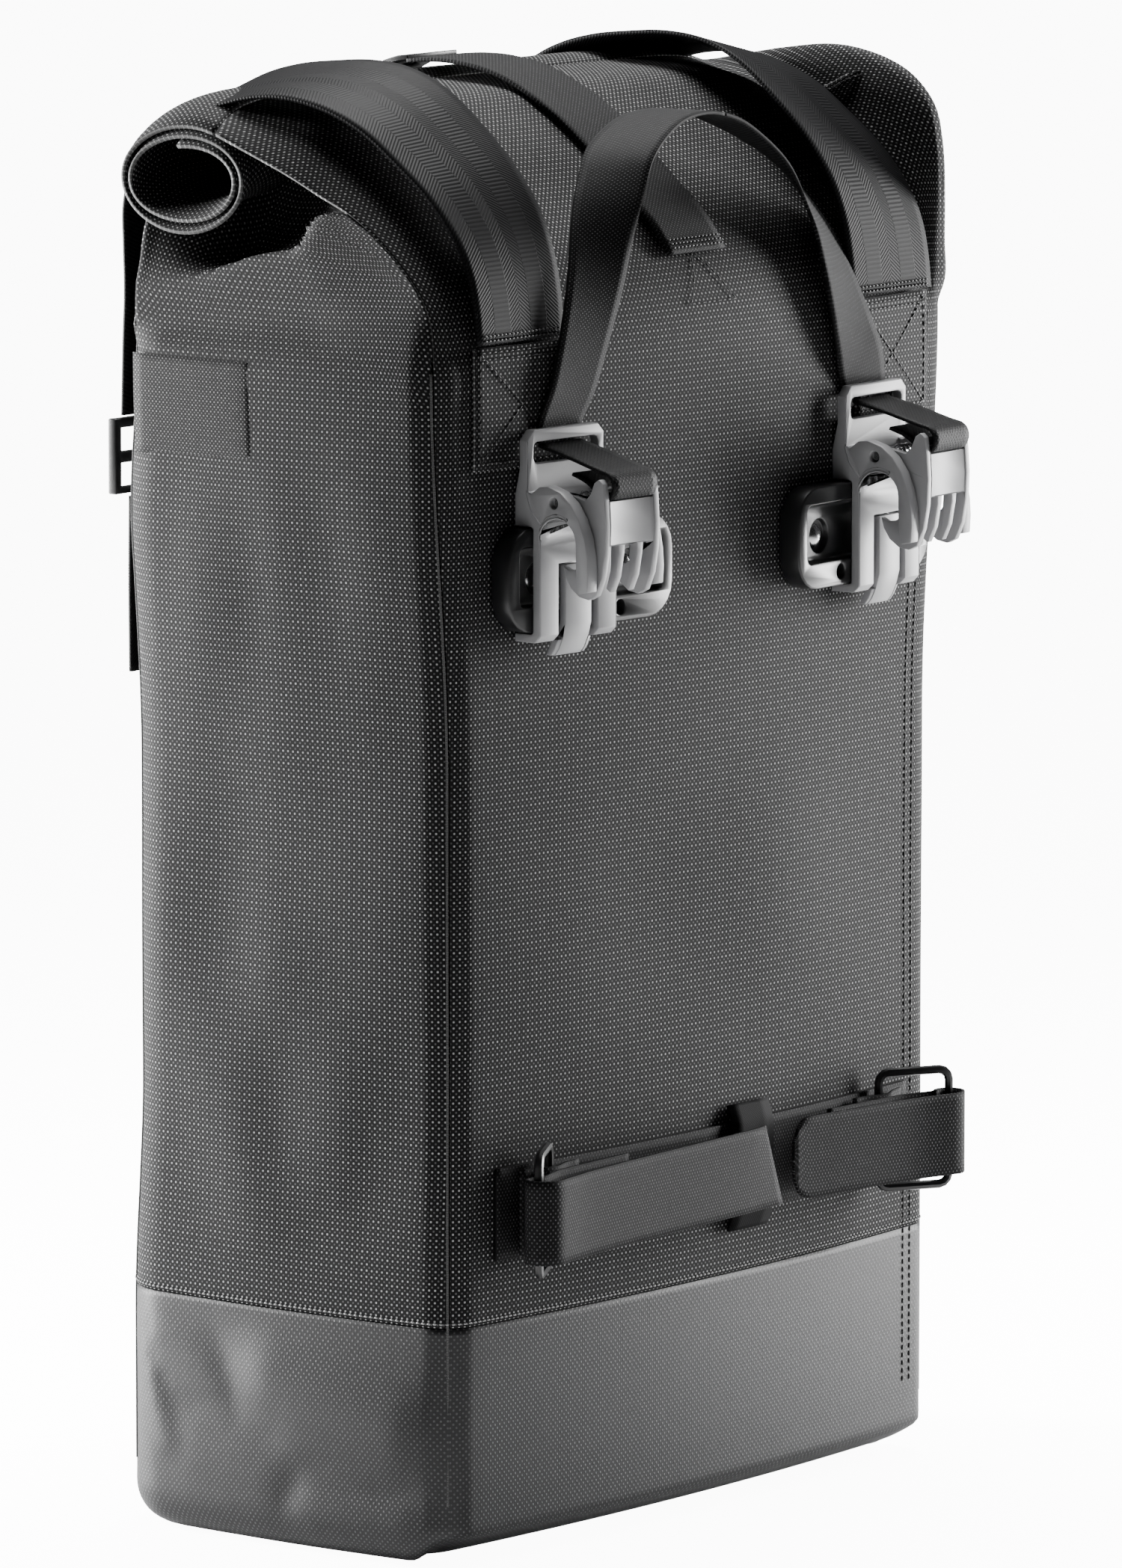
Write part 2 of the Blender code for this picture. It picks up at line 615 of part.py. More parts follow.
def make_tongue(side, frame):
    """The lock tongue in the hook's lower window, with its flared finger tab."""
    stem = [(9.6, 49.4), (12.7, 49.4), (12.7, 71), (11.4, 76), (9.4, 80.6), (7.6, 83), (4.6, 83),
            (6.6, 79), (8.6, 75), (9.6, 71)]
    half = TONGUE_WIDTH / 2
    tongue = prism(side + "_lock_tongue", stem, -half, half, PLASTIC_GREY, frame)
    tab = [(4.8, 82.8), (6.8, 78.8), (8.0, 76.8), (10.8, 76.8), (9.2, 80.4), (7.4, 82.8)]
    boolean(tongue, prism(side + "_tab", tab, -half - 1.9, half + 1.9, PLASTIC_GREY, frame), "UNION")


def make_pull_loop(side, frame):
    """Webbing from behind the hook's top, through its slot and round the latch's bar."""
    path = [(3.2, 6.6), (5.5, 7.4), (8.5, 8.0), (18, 10.2), (27, 12.6), (33, 14.2), (36.6, 15.0),
            (38.8, 17.0), (38.9, 20.2), (36.8, 22.9), (33.2, 22.9), (30.6, 19.6), (26, 16.8), (20, 14.8)]
    centres = [(0, -v, HOOK_TOP - w) for v, w in path]
    ribbon(side + "_pull_loop", centres, (1, 0, 0), LOOP_WIDTH - 0.6, 1.2, WEBBING_BLACK, frame)


def make_rack_hardware():
    for side in SIDES:
        frame = rail_frame(side)
        make_rail(side, frame)
        make_screws(side, frame)
        hook = hook_frame(side, frame)
        make_hook(side, hook)
        make_latch(side, hook)
        make_pin_and_spring(side, hook)
        make_tongue(side, hook)
        make_pull_loop(side, hook)


def drill_panels():
    """Screw holes through the rack panel and the stiffener behind it."""
    for side in SIDES:
        frame = bpy.data.objects[side + "_rail_frame"]
        for k in (-1, 1):
            for name in ("rack_panel", "back_stiffener"):
                x = k * SCREW_SPACING / 2
                cut = rod(f"{side}_{name}_{k}", (x, -6, 0), (x, 12, 0), 3.1, STEEL, frame, cutters, 12)
                boolean(bpy.data.objects[name], cut, "DIFFERENCE")


# ---------------------------------------------------------------- straps

# Wide strap over the top, as (y, z at its inner edge, z at its outer edge)
WIDE_ROUTE = [(-85.6, 449.2, 449.2), (-84.6, 462, 460), (-81.5, 478, 474), (-75, 494, 487), (-63, 510, 501),
              (-48, 524, 513), (-32, 536, 524), (-15, 543, 531), (3, 545, 534), (20, 544, 534),
              (37, 542, 532), (54, 537.5, 528), (68, 530, 520), (77.5, 517, 508), (83.5, 499, 493),
              (85.5, 480, 478), (85, 460, 459), (83, 440, 440), (82.2, 413, 413)]
STRAP_BOX_Z = (403.5, 448.0)


def make_wide_strap(side):
    sign = SIDES[side]
    inner, outer = WIDE_STRAP
    rows = []
    for y, z_in, z_out in WIDE_ROUTE:
        ends = [(sign * inner, y, z_in), (sign * mix(inner, outer, 0.5), y, (z_in + z_out) / 2),
                (sign * outer, y, z_out)]
        rows.append(ends if sign > 0 else ends[::-1])
    sheet(side + "_wide_strap", rows[::-1], WEBBING, WEBBING_BLACK)
    patch = []
    for z in (STRAP_BOX_Z[1], STRAP_BOX_Z[0]):
        xs = [sign * mix(inner, outer, k / 4) for k in range(5)]
        patch.append([(x, rack_face(x, z) - (1.9 if z < 440 else 1.6), z) for x in sorted(xs)])
    sheet(side + "_strap_patch", patch, 1.0, FABRIC_BLACK)
    middle = sign * (inner + outer) / 2
    buckle = block(side + "_strap_buckle", (middle - 30, 80.6, 384), (middle + 30, 84.4, 412), METAL_BLACK)
    for low, high in ((386.5, 395.5), (399.5, 408.5)):
        cut = block(f"{side}_buckle_slot_{low}", (middle - 26.5, 70, low), (middle + 26.5, 95, high),
                    METAL_BLACK, None, cutters)
        boolean(buckle, cut, "DIFFERENCE")


def make_outer_webbing(side):
    """The anchor webbing sewn to the outer face below each wide strap's buckle."""
    sign = SIDES[side]
    middle = sign * sum(WIDE_STRAP) / 2
    rows = []
    for z in (383.4, 350, 318):
        xs = [middle + 25 * k / 2 for k in (-2, -1, 0, 1, 2)]
        rows.append([(x, outer_face(x, z) + 0.5 + WEBBING, z) for x in sorted(xs, reverse=True)])
    sheet(side + "_strap_anchor", rows, WEBBING, WEBBING_BLACK)


CENTRE_ROUTE = [(-79.6, 473.0), (-71.5, 484.2), (-57.5, 496.8), (-42.5, 509.6), (-27.5, 521.2), (-10, 531),
                (4, 536.4), (20, 539.2), (33, 539.6), (44, 538.8)]
FRONT_ROUTE = [(68.4, 529.4), (76.8, 519.5), (81.2, 506), (83.2, 490), (83.8, 465), (83.5, 440), (85, 400),
               (86.2, 360), (86.2, 330)]


def make_centre_strap():
    half = CENTRE_STRAP_WIDTH / 2
    rows = [[(-half, y, z), (0, y, z), (half, y, z)] for y, z in CENTRE_ROUTE]
    sheet("centre_strap", rows[::-1], WEBBING, WEBBING_BLACK)
    rows = [[(-half * 0.75, y, z), (0, y, z), (half * 0.75, y, z)] for y, z in FRONT_ROUTE]
    sheet("front_webbing", rows[::-1], WEBBING, WEBBING_BLACK)
    hook = [(45.2, 540.2), (50, 539.6), (56, 537.8), (62, 534.9), (66.5, 531.6)]
    rows = [[(-15, y, z), (0, y, z), (15, y, z)] for y, z in hook]
    plate = sheet("closure_hook", rows[::-1], 2.0, METAL_BLACK)
    hole = rod("closure_hole", (0, 54, 520), (0, 60, 550), 3.4, STEEL, None, cutters, 16)
    boolean(plate, hole, "DIFFERENCE")


def make_handle():
    """Carry handle: flat along the rack face at both ends, turned on edge over its top."""
    route = [(-92, -89.4, 418.6), (-88, -90.6, 432), (-81.5, -91.4, 452), (-75, -90.6, 470), (-68, -88, 487),
             (-59, -84.6, 501), (-46, -79.6, 513.5), (-22, -73.5, 522.5), (2, -70, 524.5), (24, -68.6, 521),
             (43, -69.4, 513), (60, -71.6, 502), (70.5, -75.6, 489), (75, -82.5, 475), (75, -88.6, 461),
             (78, -91.4, 446), (84, -91, 432), (91, -89.4, 418.6)]
    across = []
    for k in range(len(route)):
        here = Vector(route[min(k + 1, len(route) - 1)]) - Vector(route[max(k - 1, 0)])
        turn = -math.pi * smooth(k / (len(route) - 1))
        side = Vector((math.cos(turn), math.sin(turn), 0))
        side -= here.normalized() * side.dot(here.normalized())
        across.append(side)
    across[0], across[-1] = Vector((1, 0, 0)), Vector((-1, 0, 0))
    ribbon("carry_handle", route[::-1], across[::-1], HANDLE_WIDTH, 1.3, WEBBING_BLACK)


# Lower rings as (x, y) of their two upright bars, and the front layer of each cinch strap
RING_INNER = (101.5, -89.3)
RING_OUTER = (126.5, -104.0)
RING_Z = (109.5, 153.5)
RING_CORNER = 4.0
CINCH_FRONT = {"left": [(122, -110.6), (100, -107.0), (60, -103.6), (0, -100.0), (-34, -97.3)],
               "right": [(122, -110.6), (100, -105.0), (60, -100.0), (36, -97.6)]}


def make_lower_straps():
    low, high = LOWER_STRAP_Z
    xs = [-126, -100, -75, -50, -25, 0, 25, 50, 75, 100, 126]
    sheet("lower_webbing", [[(x, rack_face(x) - 0.5 - WEBBING, z) for x in xs] for z in (high, low)],
          WEBBING, WEBBING_BLACK)
    keeper = [(154, -90.4), (150, -92.0), (145, -93.2), (130, -93.4), (115, -93.2), (110, -92.0), (106, -90.4)]
    sheet("cinch_keeper", [[(6, y, z), (30, y, z)] for z, y in keeper], 1.2, WEBBING_BLACK)
    for side, sign in SIDES.items():
        tab = [(85, -90.3), (92, -90.6), (98, -92.6), (101.5, -93.1), (105, -92.6), (110, -90.2), (117, -88.4)]
        flat_sheet(side + "_ring_tab", tab, sign, low + 1, high - 1, 1.0)
        ring = []
        for end, inward, z, up, turn in ((RING_INNER, 1, RING_Z[0], 1, 180), (RING_OUTER, -1, RING_Z[0], 1, 270),
                                         (RING_OUTER, -1, RING_Z[1], -1, 0), (RING_INNER, 1, RING_Z[1], -1, 90)):
            along = (Vector(RING_OUTER) - Vector(RING_INNER)).normalized()
            centre = Vector(end) + along * inward * RING_CORNER
            for k in range(4):
                a = math.radians(turn + 30 * k)
                x, y = centre + along * RING_CORNER * math.cos(a)
                ring.append((sign * x, y, z + RING_CORNER * (up + math.sin(a))))
        wire(side + "_ring", ring, 1.7, PLASTIC_BLACK, None, closed=True)
        back = [(62, -95.6), (101, -97.4), (112, -99.6), (120, -101.9)]
        fold = [(124.8, -100.2), (128.5, -100.6), (130.6, -104.2), (128.6, -108.4), (124.6, -110.6)]
        flat_sheet(side + "_cinch_strap", back + fold + CINCH_FRONT[side], sign, low + 1.5, high - 1.5, 1.3)


def flat_sheet(name, path, sign, low, high, thickness):
    """A strap of constant height whose (x, y) path is given for the right side and mirrored for the left."""
    rows = [[(sign * x, y, high), (sign * x, y, low)] for x, y in path]
    if sign < 0:
        rows = rows[::-1]
    sheet(name, [[row[0] for row in rows], [row[1] for row in rows]], thickness, WEBBING_BLACK)


def make_side_patch():
    rows = []
    for z in (442.5, 422.5, 402.5):
        row = []
        for k in range(5):
            y = mix(60.0, 0.0, k / 4)
            row.append((bulged(-half_width(z), y, z)[0] - 1.5, y, z))
        rows.append(row)
    sheet("side_patch", rows, 0.6, FABRIC_BLACK)


make_rack_panel()
make_side_panel("left")
make_side_panel("right")
make_outer_panel()
make_boot()
make_roll()
make_stiffeners()
make_rack_hardware()
drill_panels()
for side_name in SIDES:
    make_wide_strap(side_name)
    make_outer_webbing(side_name)
make_centre_strap()
make_handle()
make_lower_straps()
make_side_patch()
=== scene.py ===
"""Roll-top bicycle pannier bag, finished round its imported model.

Lengths inside the sections are in millimetres and MM turns them into metres.
Left is -X, right is +X, the rack face looks along -Y and the outer face along +Y.
"""

import math

import bmesh
import bpy
from mathutils import Matrix, Vector, noise


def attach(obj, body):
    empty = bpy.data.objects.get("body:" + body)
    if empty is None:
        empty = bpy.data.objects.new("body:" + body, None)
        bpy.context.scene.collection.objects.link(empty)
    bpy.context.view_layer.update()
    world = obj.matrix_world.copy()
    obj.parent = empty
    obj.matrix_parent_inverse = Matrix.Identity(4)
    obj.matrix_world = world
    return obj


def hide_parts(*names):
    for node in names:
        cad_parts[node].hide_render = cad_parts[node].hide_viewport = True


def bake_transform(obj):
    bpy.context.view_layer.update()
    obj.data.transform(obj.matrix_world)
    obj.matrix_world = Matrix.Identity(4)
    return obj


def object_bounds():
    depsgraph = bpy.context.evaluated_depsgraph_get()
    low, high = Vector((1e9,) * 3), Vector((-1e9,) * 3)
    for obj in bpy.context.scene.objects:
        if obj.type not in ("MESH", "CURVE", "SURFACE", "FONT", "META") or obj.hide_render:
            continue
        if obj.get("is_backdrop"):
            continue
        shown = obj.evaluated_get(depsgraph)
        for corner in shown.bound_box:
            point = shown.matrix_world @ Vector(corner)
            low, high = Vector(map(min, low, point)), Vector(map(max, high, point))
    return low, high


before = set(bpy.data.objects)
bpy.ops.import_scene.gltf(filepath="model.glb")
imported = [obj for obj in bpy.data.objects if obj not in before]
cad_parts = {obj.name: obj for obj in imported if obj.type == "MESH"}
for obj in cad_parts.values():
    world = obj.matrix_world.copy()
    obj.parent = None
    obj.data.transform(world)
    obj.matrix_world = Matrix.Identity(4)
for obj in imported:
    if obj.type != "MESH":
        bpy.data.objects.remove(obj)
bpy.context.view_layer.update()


# ------------------------------------------------------------------ studio
# A pale floor, a tall soft light on each side of the bag's nearest corner and one above.
# The two faces are lit from their far edges, so the corner between them stays dark.

MM = 0.001


def linear(code):
    """An sRGB hex colour as linear red, green and blue with full opacity."""
    values = [int(code[k:k + 2], 16) / 255 for k in (1, 3, 5)]
    return (*(v / 12.92 if v <= 0.04045 else ((v + 0.055) / 1.055) ** 2.4 for v in values), 1.0)


def add_node(tree, kind, settings=None, inputs=None):
    """Adds a node with its settings, and fills its sockets with plain values or links."""
    made = tree.nodes.new(kind)
    for name, value in (settings or {}).items():
        setattr(made, name, value)
    for name, value in (inputs or {}).items():
        if isinstance(value, bpy.types.NodeSocket):
            tree.links.new(value, made.inputs[name])
        else:
            made.inputs[name].default_value = value
    return made


def new_material(name, colour, roughness, metallic=0.0):
    """A named material, its node tree and its shader."""
    made = bpy.data.materials.new(name)
    made.use_nodes = True
    shader = made.node_tree.nodes["Principled BSDF"]
    shader.inputs["Base Color"].default_value = linear(colour)
    shader.inputs["Roughness"].default_value = roughness
    shader.inputs["Metallic"].default_value = metallic
    return made, made.node_tree, shader


def soft_light(name, place, target, width, height, watts):
    """A rectangular softbox at place, turned towards target."""
    lamp = bpy.data.lights.new(name, "AREA")
    lamp.shape = "RECTANGLE"
    lamp.size, lamp.size_y, lamp.energy = width, height, watts
    box = bpy.data.objects.new(name, lamp)
    bpy.context.scene.collection.objects.link(box)
    box.location = place
    box.rotation_euler = (Vector(target) - Vector(place)).to_track_quat("-Z", "Y").to_euler()


CAMERA_AZIMUTH = math.radians(52.05)
CAMERA_ELEVATION = math.radians(7.98)
CAMERA_DISTANCE = 4.574
CAMERA_TARGET = Vector((0.0, 0.0, 0.27))
CAMERA_LENS = 280.1
CAMERA_SHIFT = (0.0215, -0.0042)

lens = bpy.data.cameras.new("camera")
lens.lens = CAMERA_LENS
lens.sensor_width = 36.0
lens.shift_x, lens.shift_y = CAMERA_SHIFT
lens.clip_end = 60.0
camera = bpy.data.objects.new("camera", lens)
bpy.context.scene.collection.objects.link(camera)
level = math.cos(CAMERA_ELEVATION)
towards = Vector((-math.sin(CAMERA_AZIMUTH) * level, -math.cos(CAMERA_AZIMUTH) * level,
                  math.sin(CAMERA_ELEVATION)))
camera.location = CAMERA_TARGET + towards * CAMERA_DISTANCE
camera.rotation_euler = (-towards).to_track_quat("-Z", "Y").to_euler()
bpy.context.scene.camera = camera

# The floor and the air show white to the camera. The floor glows for the camera alone, and the
# air lights the bag only faintly.
FLOOR_HALF, FLOOR_GLOW, AIR_LIGHT, AIR_GLOW = 12.0, 11.0, 0.02, 12.0

bm = bmesh.new()
bmesh.ops.create_grid(bm, x_segments=2, y_segments=2, size=FLOOR_HALF)
floor_mesh = bpy.data.meshes.new("floor")
bm.to_mesh(floor_mesh)
bm.free()
floor = bpy.data.objects.new("floor", floor_mesh)
bpy.context.scene.collection.objects.link(floor)
floor_paint, tree, shader = new_material("matt_white_floor", "#f4f4f4", 0.9)
seen = add_node(tree, "ShaderNodeLightPath")
glow = add_node(tree, "ShaderNodeMath", {"operation": "MULTIPLY"},
                {0: seen.outputs["Is Camera Ray"], 1: FLOOR_GLOW})
shader.inputs["Emission Color"].default_value = linear("#ffffff")
tree.links.new(glow.outputs[0], shader.inputs["Emission Strength"])
floor_mesh.materials.append(floor_paint)
floor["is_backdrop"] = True

world = bpy.data.worlds.new("studio_air")
world.use_nodes = True
bpy.context.scene.world = world
seen = add_node(world.node_tree, "ShaderNodeLightPath")
glow = add_node(world.node_tree, "ShaderNodeMapRange", None,
                {"Value": seen.outputs["Is Camera Ray"], "To Min": AIR_LIGHT, "To Max": AIR_GLOW})
background = world.node_tree.nodes["Background"]
background.inputs["Color"].default_value = linear("#ffffff")
world.node_tree.links.new(glow.outputs[0], background.inputs["Strength"])

soft_light("rack_side_softbox", (1.05, -0.44, 0.28), (0.0, -0.08, 0.27), 0.28, 1.2, 50)
soft_light("far_side_softbox", (-0.40, 1.08, 0.32), (-0.15, 0.0, 0.25), 0.26, 1.2, 98)
soft_light("overhead_softbox", (0.30, 0.20, 1.5), (0.0, 0.0, 0.4), 0.7, 0.7, 38)


# ------------------------------------------------------------------ rack panel
# The large panel on the hook side: coarse black polyester with a light filling thread, laminated
# behind. It is cut in one piece from the coated band over the shoulder into the rolled mouth.

PANEL_WALL = 1.6
HALF_WIDTH_LOW, HALF_WIDTH_MOUTH = 148.0, 157.0
RACK_Y, OUTER_Y = -80.0, 76.0
RACK_BULGE, OUTER_BULGE, SIDE_BULGE = 8.5, 7.0, 4.0
SIDE_SLACK, FACE_SLACK = 2.6, 2.2
RACK_CORNER, OUTER_CORNER = 12.0, 24.0
SEAM_GAP = 0.5
BAND_TOP = 90.0
SHOULDER = 440.0
ROLL_START = math.radians(-28)
ROLL_HALF_LENGTH = 151.0
ROLL_CENTRE, ROLL_END_CENTRE = (44.0, 514.0), (41.0, 502.5)
ROLL_DEPTH, ROLL_HEIGHT, ROLL_PITCH = 31.0, 21.0, 3.6
# The shoulder's line as (y, z) points at its middle, at its left end and at its raised right end.
SHOULDER_MIDDLE = [(-87.0, 452), (-82.5, 463.5), (-75.0, 474), (-64.0, 485.5), (-50.0, 499),
                   (-35.0, 511.5), (-20.0, 522), (-3.0, 530)]
SHOULDER_END = [(-76.5, 451), (-74.0, 460), (-68.0, 469.5), (-59.0, 479), (-48.0, 488),
                (-36.0, 495.5), (-22.0, 501.5), (-5.0, 509)]
SHOULDER_EAR = [(-81.0, 452), (-81.5, 466), (-82.0, 484), (-81.0, 502), (-76.5, 518), (-62.0, 530.5),
                (-38.0, 537.0), (-13.0, 536)]


def smooth(t):
    """A soft step from 0 at t = 0 to 1 at t = 1."""
    t = min(max(t, 0.0), 1.0)
    return t * t * (3.0 - 2.0 * t)


def mix(a, b, t):
    return a + (b - a) * t


def half_width(z):
    """Half the bag's width at height z: it widens towards the mouth."""
    return mix(HALF_WIDTH_LOW, HALF_WIDTH_MOUTH, smooth((z - 290) / 150))


def outer_y(z):
    """The outer face's plane at height z: it leans in towards the mouth."""
    return OUTER_Y + 4 * smooth((170 - z) / 90) - 6 * smooth((z - 370) / 70)


def bulged(x, y, z):
    """Pushes a point of the plain section out to the filled shape."""
    back = outer_y(z)
    middle, half = (back + RACK_Y) / 2, (back - RACK_Y) / 2
    across, along = 1 - (x / half_width(z)) ** 2, 1 - ((y - middle) / half) ** 2
    side_slack = SIDE_SLACK * noise.noise(Vector((y / 38, z / 75, 3.0)))
    side_slack *= smooth((z - 95) / 40) * smooth((430 - z) / 60)
    face_slack = FACE_SLACK * noise.noise(Vector((x / 90, z / 80, 9.0)))
    face_slack *= smooth((z - 160) / 50) * smooth((310 - z) / 60)
    face_bulge = OUTER_BULGE + face_slack if y > middle else -RACK_BULGE - face_slack
    return (x + math.copysign(SIDE_BULGE + side_slack, x) * max(along, 0.0),
            y + face_bulge * max(across, 0.0), z)


def section(side, z, straight=30, bend=7):
    """One panel's line at height z from seam to seam, anticlockwise seen from above."""
    rack_x, rack_y = half_width(z) - RACK_CORNER, RACK_Y + RACK_CORNER
    outer_x, back_y = half_width(z) - OUTER_CORNER, outer_y(z) - OUTER_CORNER
    first, last = {
        "rack": ((-rack_x, rack_y, RACK_CORNER, 225, 270), (rack_x, rack_y, RACK_CORNER, 270, 315)),
        "right": ((rack_x, rack_y, RACK_CORNER, 315, 360), (outer_x, back_y, OUTER_CORNER, 0, 45)),
        "outer": ((outer_x, back_y, OUTER_CORNER, 45, 90), (-outer_x, back_y, OUTER_CORNER, 90, 135)),
        "left": ((-outer_x, back_y, OUTER_CORNER, 135, 180), (-rack_x, rack_y, RACK_CORNER, 180, 225)),
    }[side]
    arcs = []
    for (cx, cy, r, a0, a1), at_start in ((first, True), (last, False)):
        trim = math.degrees(SEAM_GAP / r)
        a0, a1 = (a0 + trim, a1) if at_start else (a0, a1 - trim)
        angles = [math.radians(mix(a0, a1, k / bend)) for k in range(bend + 1)]
        arcs.append([(cx + r * math.cos(a), cy + r * math.sin(a)) for a in angles])
    start, end = arcs[0][-1], arcs[1][0]
    line = [(mix(start[0], end[0], k / straight), mix(start[1], end[1], k / straight))
            for k in range(1, straight)]
    return [bulged(x, y, z) for x, y in arcs[0] + line + arcs[1]]


def roll_point(angle, u, lift=0.0):
    """A point on the rolled mouth, u from -1 to 1 along it and angle from its top towards +Y."""
    turned = (angle - ROLL_START) / (2 * math.pi)
    drop = abs(u) ** 10 * (1.0 if u < 0 else 0.45)
    cy, cz = (mix(middle, end, drop) for middle, end in zip(ROLL_CENTRE, ROLL_END_CENTRE))
    depth, height = (size - ROLL_PITCH * turned + lift for size in (ROLL_DEPTH, ROLL_HEIGHT))
    return u * ROLL_HALF_LENGTH, cy + depth * math.sin(angle), cz + height * math.cos(angle)


def through(points, t):
    """The point at share t of a smooth curve through the points."""
    spans = len(points) - 1
    k = min(int(t * spans), spans - 1)
    f = t * spans - k
    around = [points[min(max(k + j, 0), spans)] for j in (-1, 0, 1, 2)]
    return tuple(0.5 * (2 * q + (r - p) * f + (2 * p - 5 * q + 4 * r - s) * f * f
                        + (3 * q - p - 3 * r + s) * f ** 3) for p, q, r, s in zip(*around))


def resample(points, rows):
    """rows + 1 evenly spaced points along a smooth curve through the given ones."""
    count = 6 * (len(points) - 1)
    dense = [through(points, k / count) for k in range(count + 1)]
    run = [0.0]
    for a, b in zip(dense, dense[1:]):
        run.append(run[-1] + math.dist(a, b))
    even, k = [], 0
    for step in range(rows + 1):
        goal = run[-1] * step / rows
        while k < count - 1 and run[k + 1] < goal:
            k += 1
        share = (goal - run[k]) / max(run[k + 1] - run[k], 1e-9)
        even.append(tuple(mix(p, q, share) for p, q in zip(dense[k], dense[k + 1])))
    return even


def place_mesh(bm, name, finishes, smooth_shade=True):
    """Ends a bmesh as an object at the origin with its materials."""
    mesh = bpy.data.meshes.new(name)
    bm.to_mesh(mesh)
    bm.free()
    for finish in finishes:
        mesh.materials.append(finish)
    if smooth_shade:
        mesh.shade_smooth()
    piece = bpy.data.objects.new(name, mesh)
    bpy.context.scene.collection.objects.link(piece)
    return piece


def cloth(name, control, rows, finish, wall, cut_edge=None, ring=False):
    """Lays a grid over columns of control points, with a UV map in metres and a wall behind it.

    The columns run from left to right with the outer side in view, and each runs upwards.
    """
    columns = [resample(points, rows) for points in control]
    across = len(columns) - 1
    middle = across // 2
    along = []
    for column in columns:
        run = [0.0]
        for a, b in zip(column, column[1:]):
            run.append(run[-1] + math.dist(a, b))
        along.append(run)
    sideways = []
    for j in range(rows + 1):
        run = [0.0]
        for left, right in zip(columns, columns[1:]):
            run.append(run[-1] + math.dist(left[j], right[j]))
        sideways.append([value - run[middle] for value in run])
    bm = bmesh.new()
    bmesh.ops.create_grid(bm, x_segments=across, y_segments=rows, size=0.5)
    uv = bm.loops.layers.uv.new("UVMap")
    place = {v: (round((v.co.x + 0.5) * across), round((v.co.y + 0.5) * rows)) for v in bm.verts}
    for face in bm.faces:
        for loop in face.loops:
            i, j = place[loop.vert]
            loop[uv].uv = ((sideways[rows][i] * MM, (along[i][j] - along[i][rows]) * MM) if ring
                           else (sideways[j][i] * MM, along[i][j] * MM))
    for vert, (i, j) in place.items():
        vert.co = Vector(columns[i][j]) * MM
    area = sum(face.calc_area() for face in bm.faces)
    if ring:
        bmesh.ops.remove_doubles(bm, verts=bm.verts, dist=0.00002)
        half_band = 0.5 * BAND_TOP * MM
        rim = [e for e in bm.edges if e.is_boundary and max(v.co.z for v in e.verts) < half_band]
        bmesh.ops.edgeloop_fill(bm, edges=rim)
        bmesh.ops.recalc_face_normals(bm, faces=bm.faces)
    piece = place_mesh(bm, name, [finish, cut_edge or finish])
    for vert in piece.data.vertices:
        vert.co.z = max(vert.co.z, 0.0)
    thick = piece.modifiers.new("wall", "SOLIDIFY")
    thick.thickness = wall * MM
    thick.offset = -1.0
    # The rim takes the second material, the lighter edge cloth, whose colour is partly a painted highlight.
    thick.material_offset_rim = 1
    width = max(run[-1] - run[0] for run in sideways) * MM
    length = max(run[-1] for run in along) * MM
    return piece, width, length, area


def woven(name, ground, thread, across, along, between, rough, fill=1.0, height=0.25):
    """A plain weave seen as light thread crossings on a darker ground; spacings are in mm."""
    made, tree, shader = new_material(name, ground, rough)
    place = add_node(tree, "ShaderNodeUVMap", {"uv_map": "UVMap"})
    parts = add_node(tree, "ShaderNodeSeparateXYZ", None, {0: place.outputs[0]})
    waves = []
    for axis, spacing in (("X", across), ("Y", along)):
        turn = add_node(tree, "ShaderNodeMath", {"operation": "MULTIPLY"},
                        {0: parts.outputs[axis], 1: 2 * math.pi / (spacing * MM)})
        waves.append(add_node(tree, "ShaderNodeMath", {"operation": "COSINE"}, {0: turn.outputs[0]}))
    crossing = add_node(tree, "ShaderNodeMath", {"operation": "MULTIPLY"},
                        {0: waves[0].outputs[0], 1: waves[1].outputs[0]})
    bump_up = add_node(tree, "ShaderNodeMapRange", None,
                       {"Value": crossing.outputs[0], "From Min": 1 - 0.72 * fill, "From Max": 0.85})
    second = add_node(tree, "ShaderNodeMapRange", None,
                      {"Value": waves[0].outputs[0], "From Min": -0.4, "From Max": 0.4, "To Min": between})
    uneven = add_node(tree, "ShaderNodeTexNoise", {"noise_dimensions": "2D"},
                      {"Vector": place.outputs[0], "Scale": 1 / (across * 1.7 * MM), "Detail": 1.0})
    flecked = add_node(tree, "ShaderNodeMapRange", None,
                       {"Value": uneven.outputs["Fac"], "From Min": 0.3, "From Max": 0.7, "To Min": 0.62})
    strength = add_node(tree, "ShaderNodeMath", {"operation": "MULTIPLY"},
                        {0: second.outputs[0], 1: flecked.outputs[0]})
    mask = add_node(tree, "ShaderNodeMath", {"operation": "MULTIPLY"},
                    {0: bump_up.outputs[0], 1: strength.outputs[0]})
    colour = add_node(tree, "ShaderNodeMix", {"data_type": "RGBA"},
                      {0: mask.outputs[0], 6: linear(ground), 7: linear(thread)})
    bump = add_node(tree, "ShaderNodeBump", None,
                    {"Height": bump_up.outputs[0], "Strength": 0.6, "Distance": height * MM})
    tree.links.new(colour.outputs[2], shader.inputs["Base Color"])
    tree.links.new(bump.outputs[0], shader.inputs["Normal"])
    return made, shader


# Woven polyester: a black warp hides all but the crossings of a light filling thread, so the
# eye sees rows of light grains on a dull black ground.
FABRIC, shader = woven("woven_polyester_canvas", "#0f0f10", "#ababab", 2.3, 2.3, 0.25, 0.75, 1.0, 0.12)
shader.inputs["Specular IOR Level"].default_value = 0.12

# The cut edge of the same cloth: the light thread shows in short ends, plus a painted edge highlight.
EDGE_CLOTH_WITH_HIGHLIGHT, shader = woven("canvas_edge_with_painted_highlight", "#3c3c3c", "#b0b0b0", 2.3, 2.3, 0.6, 0.8)

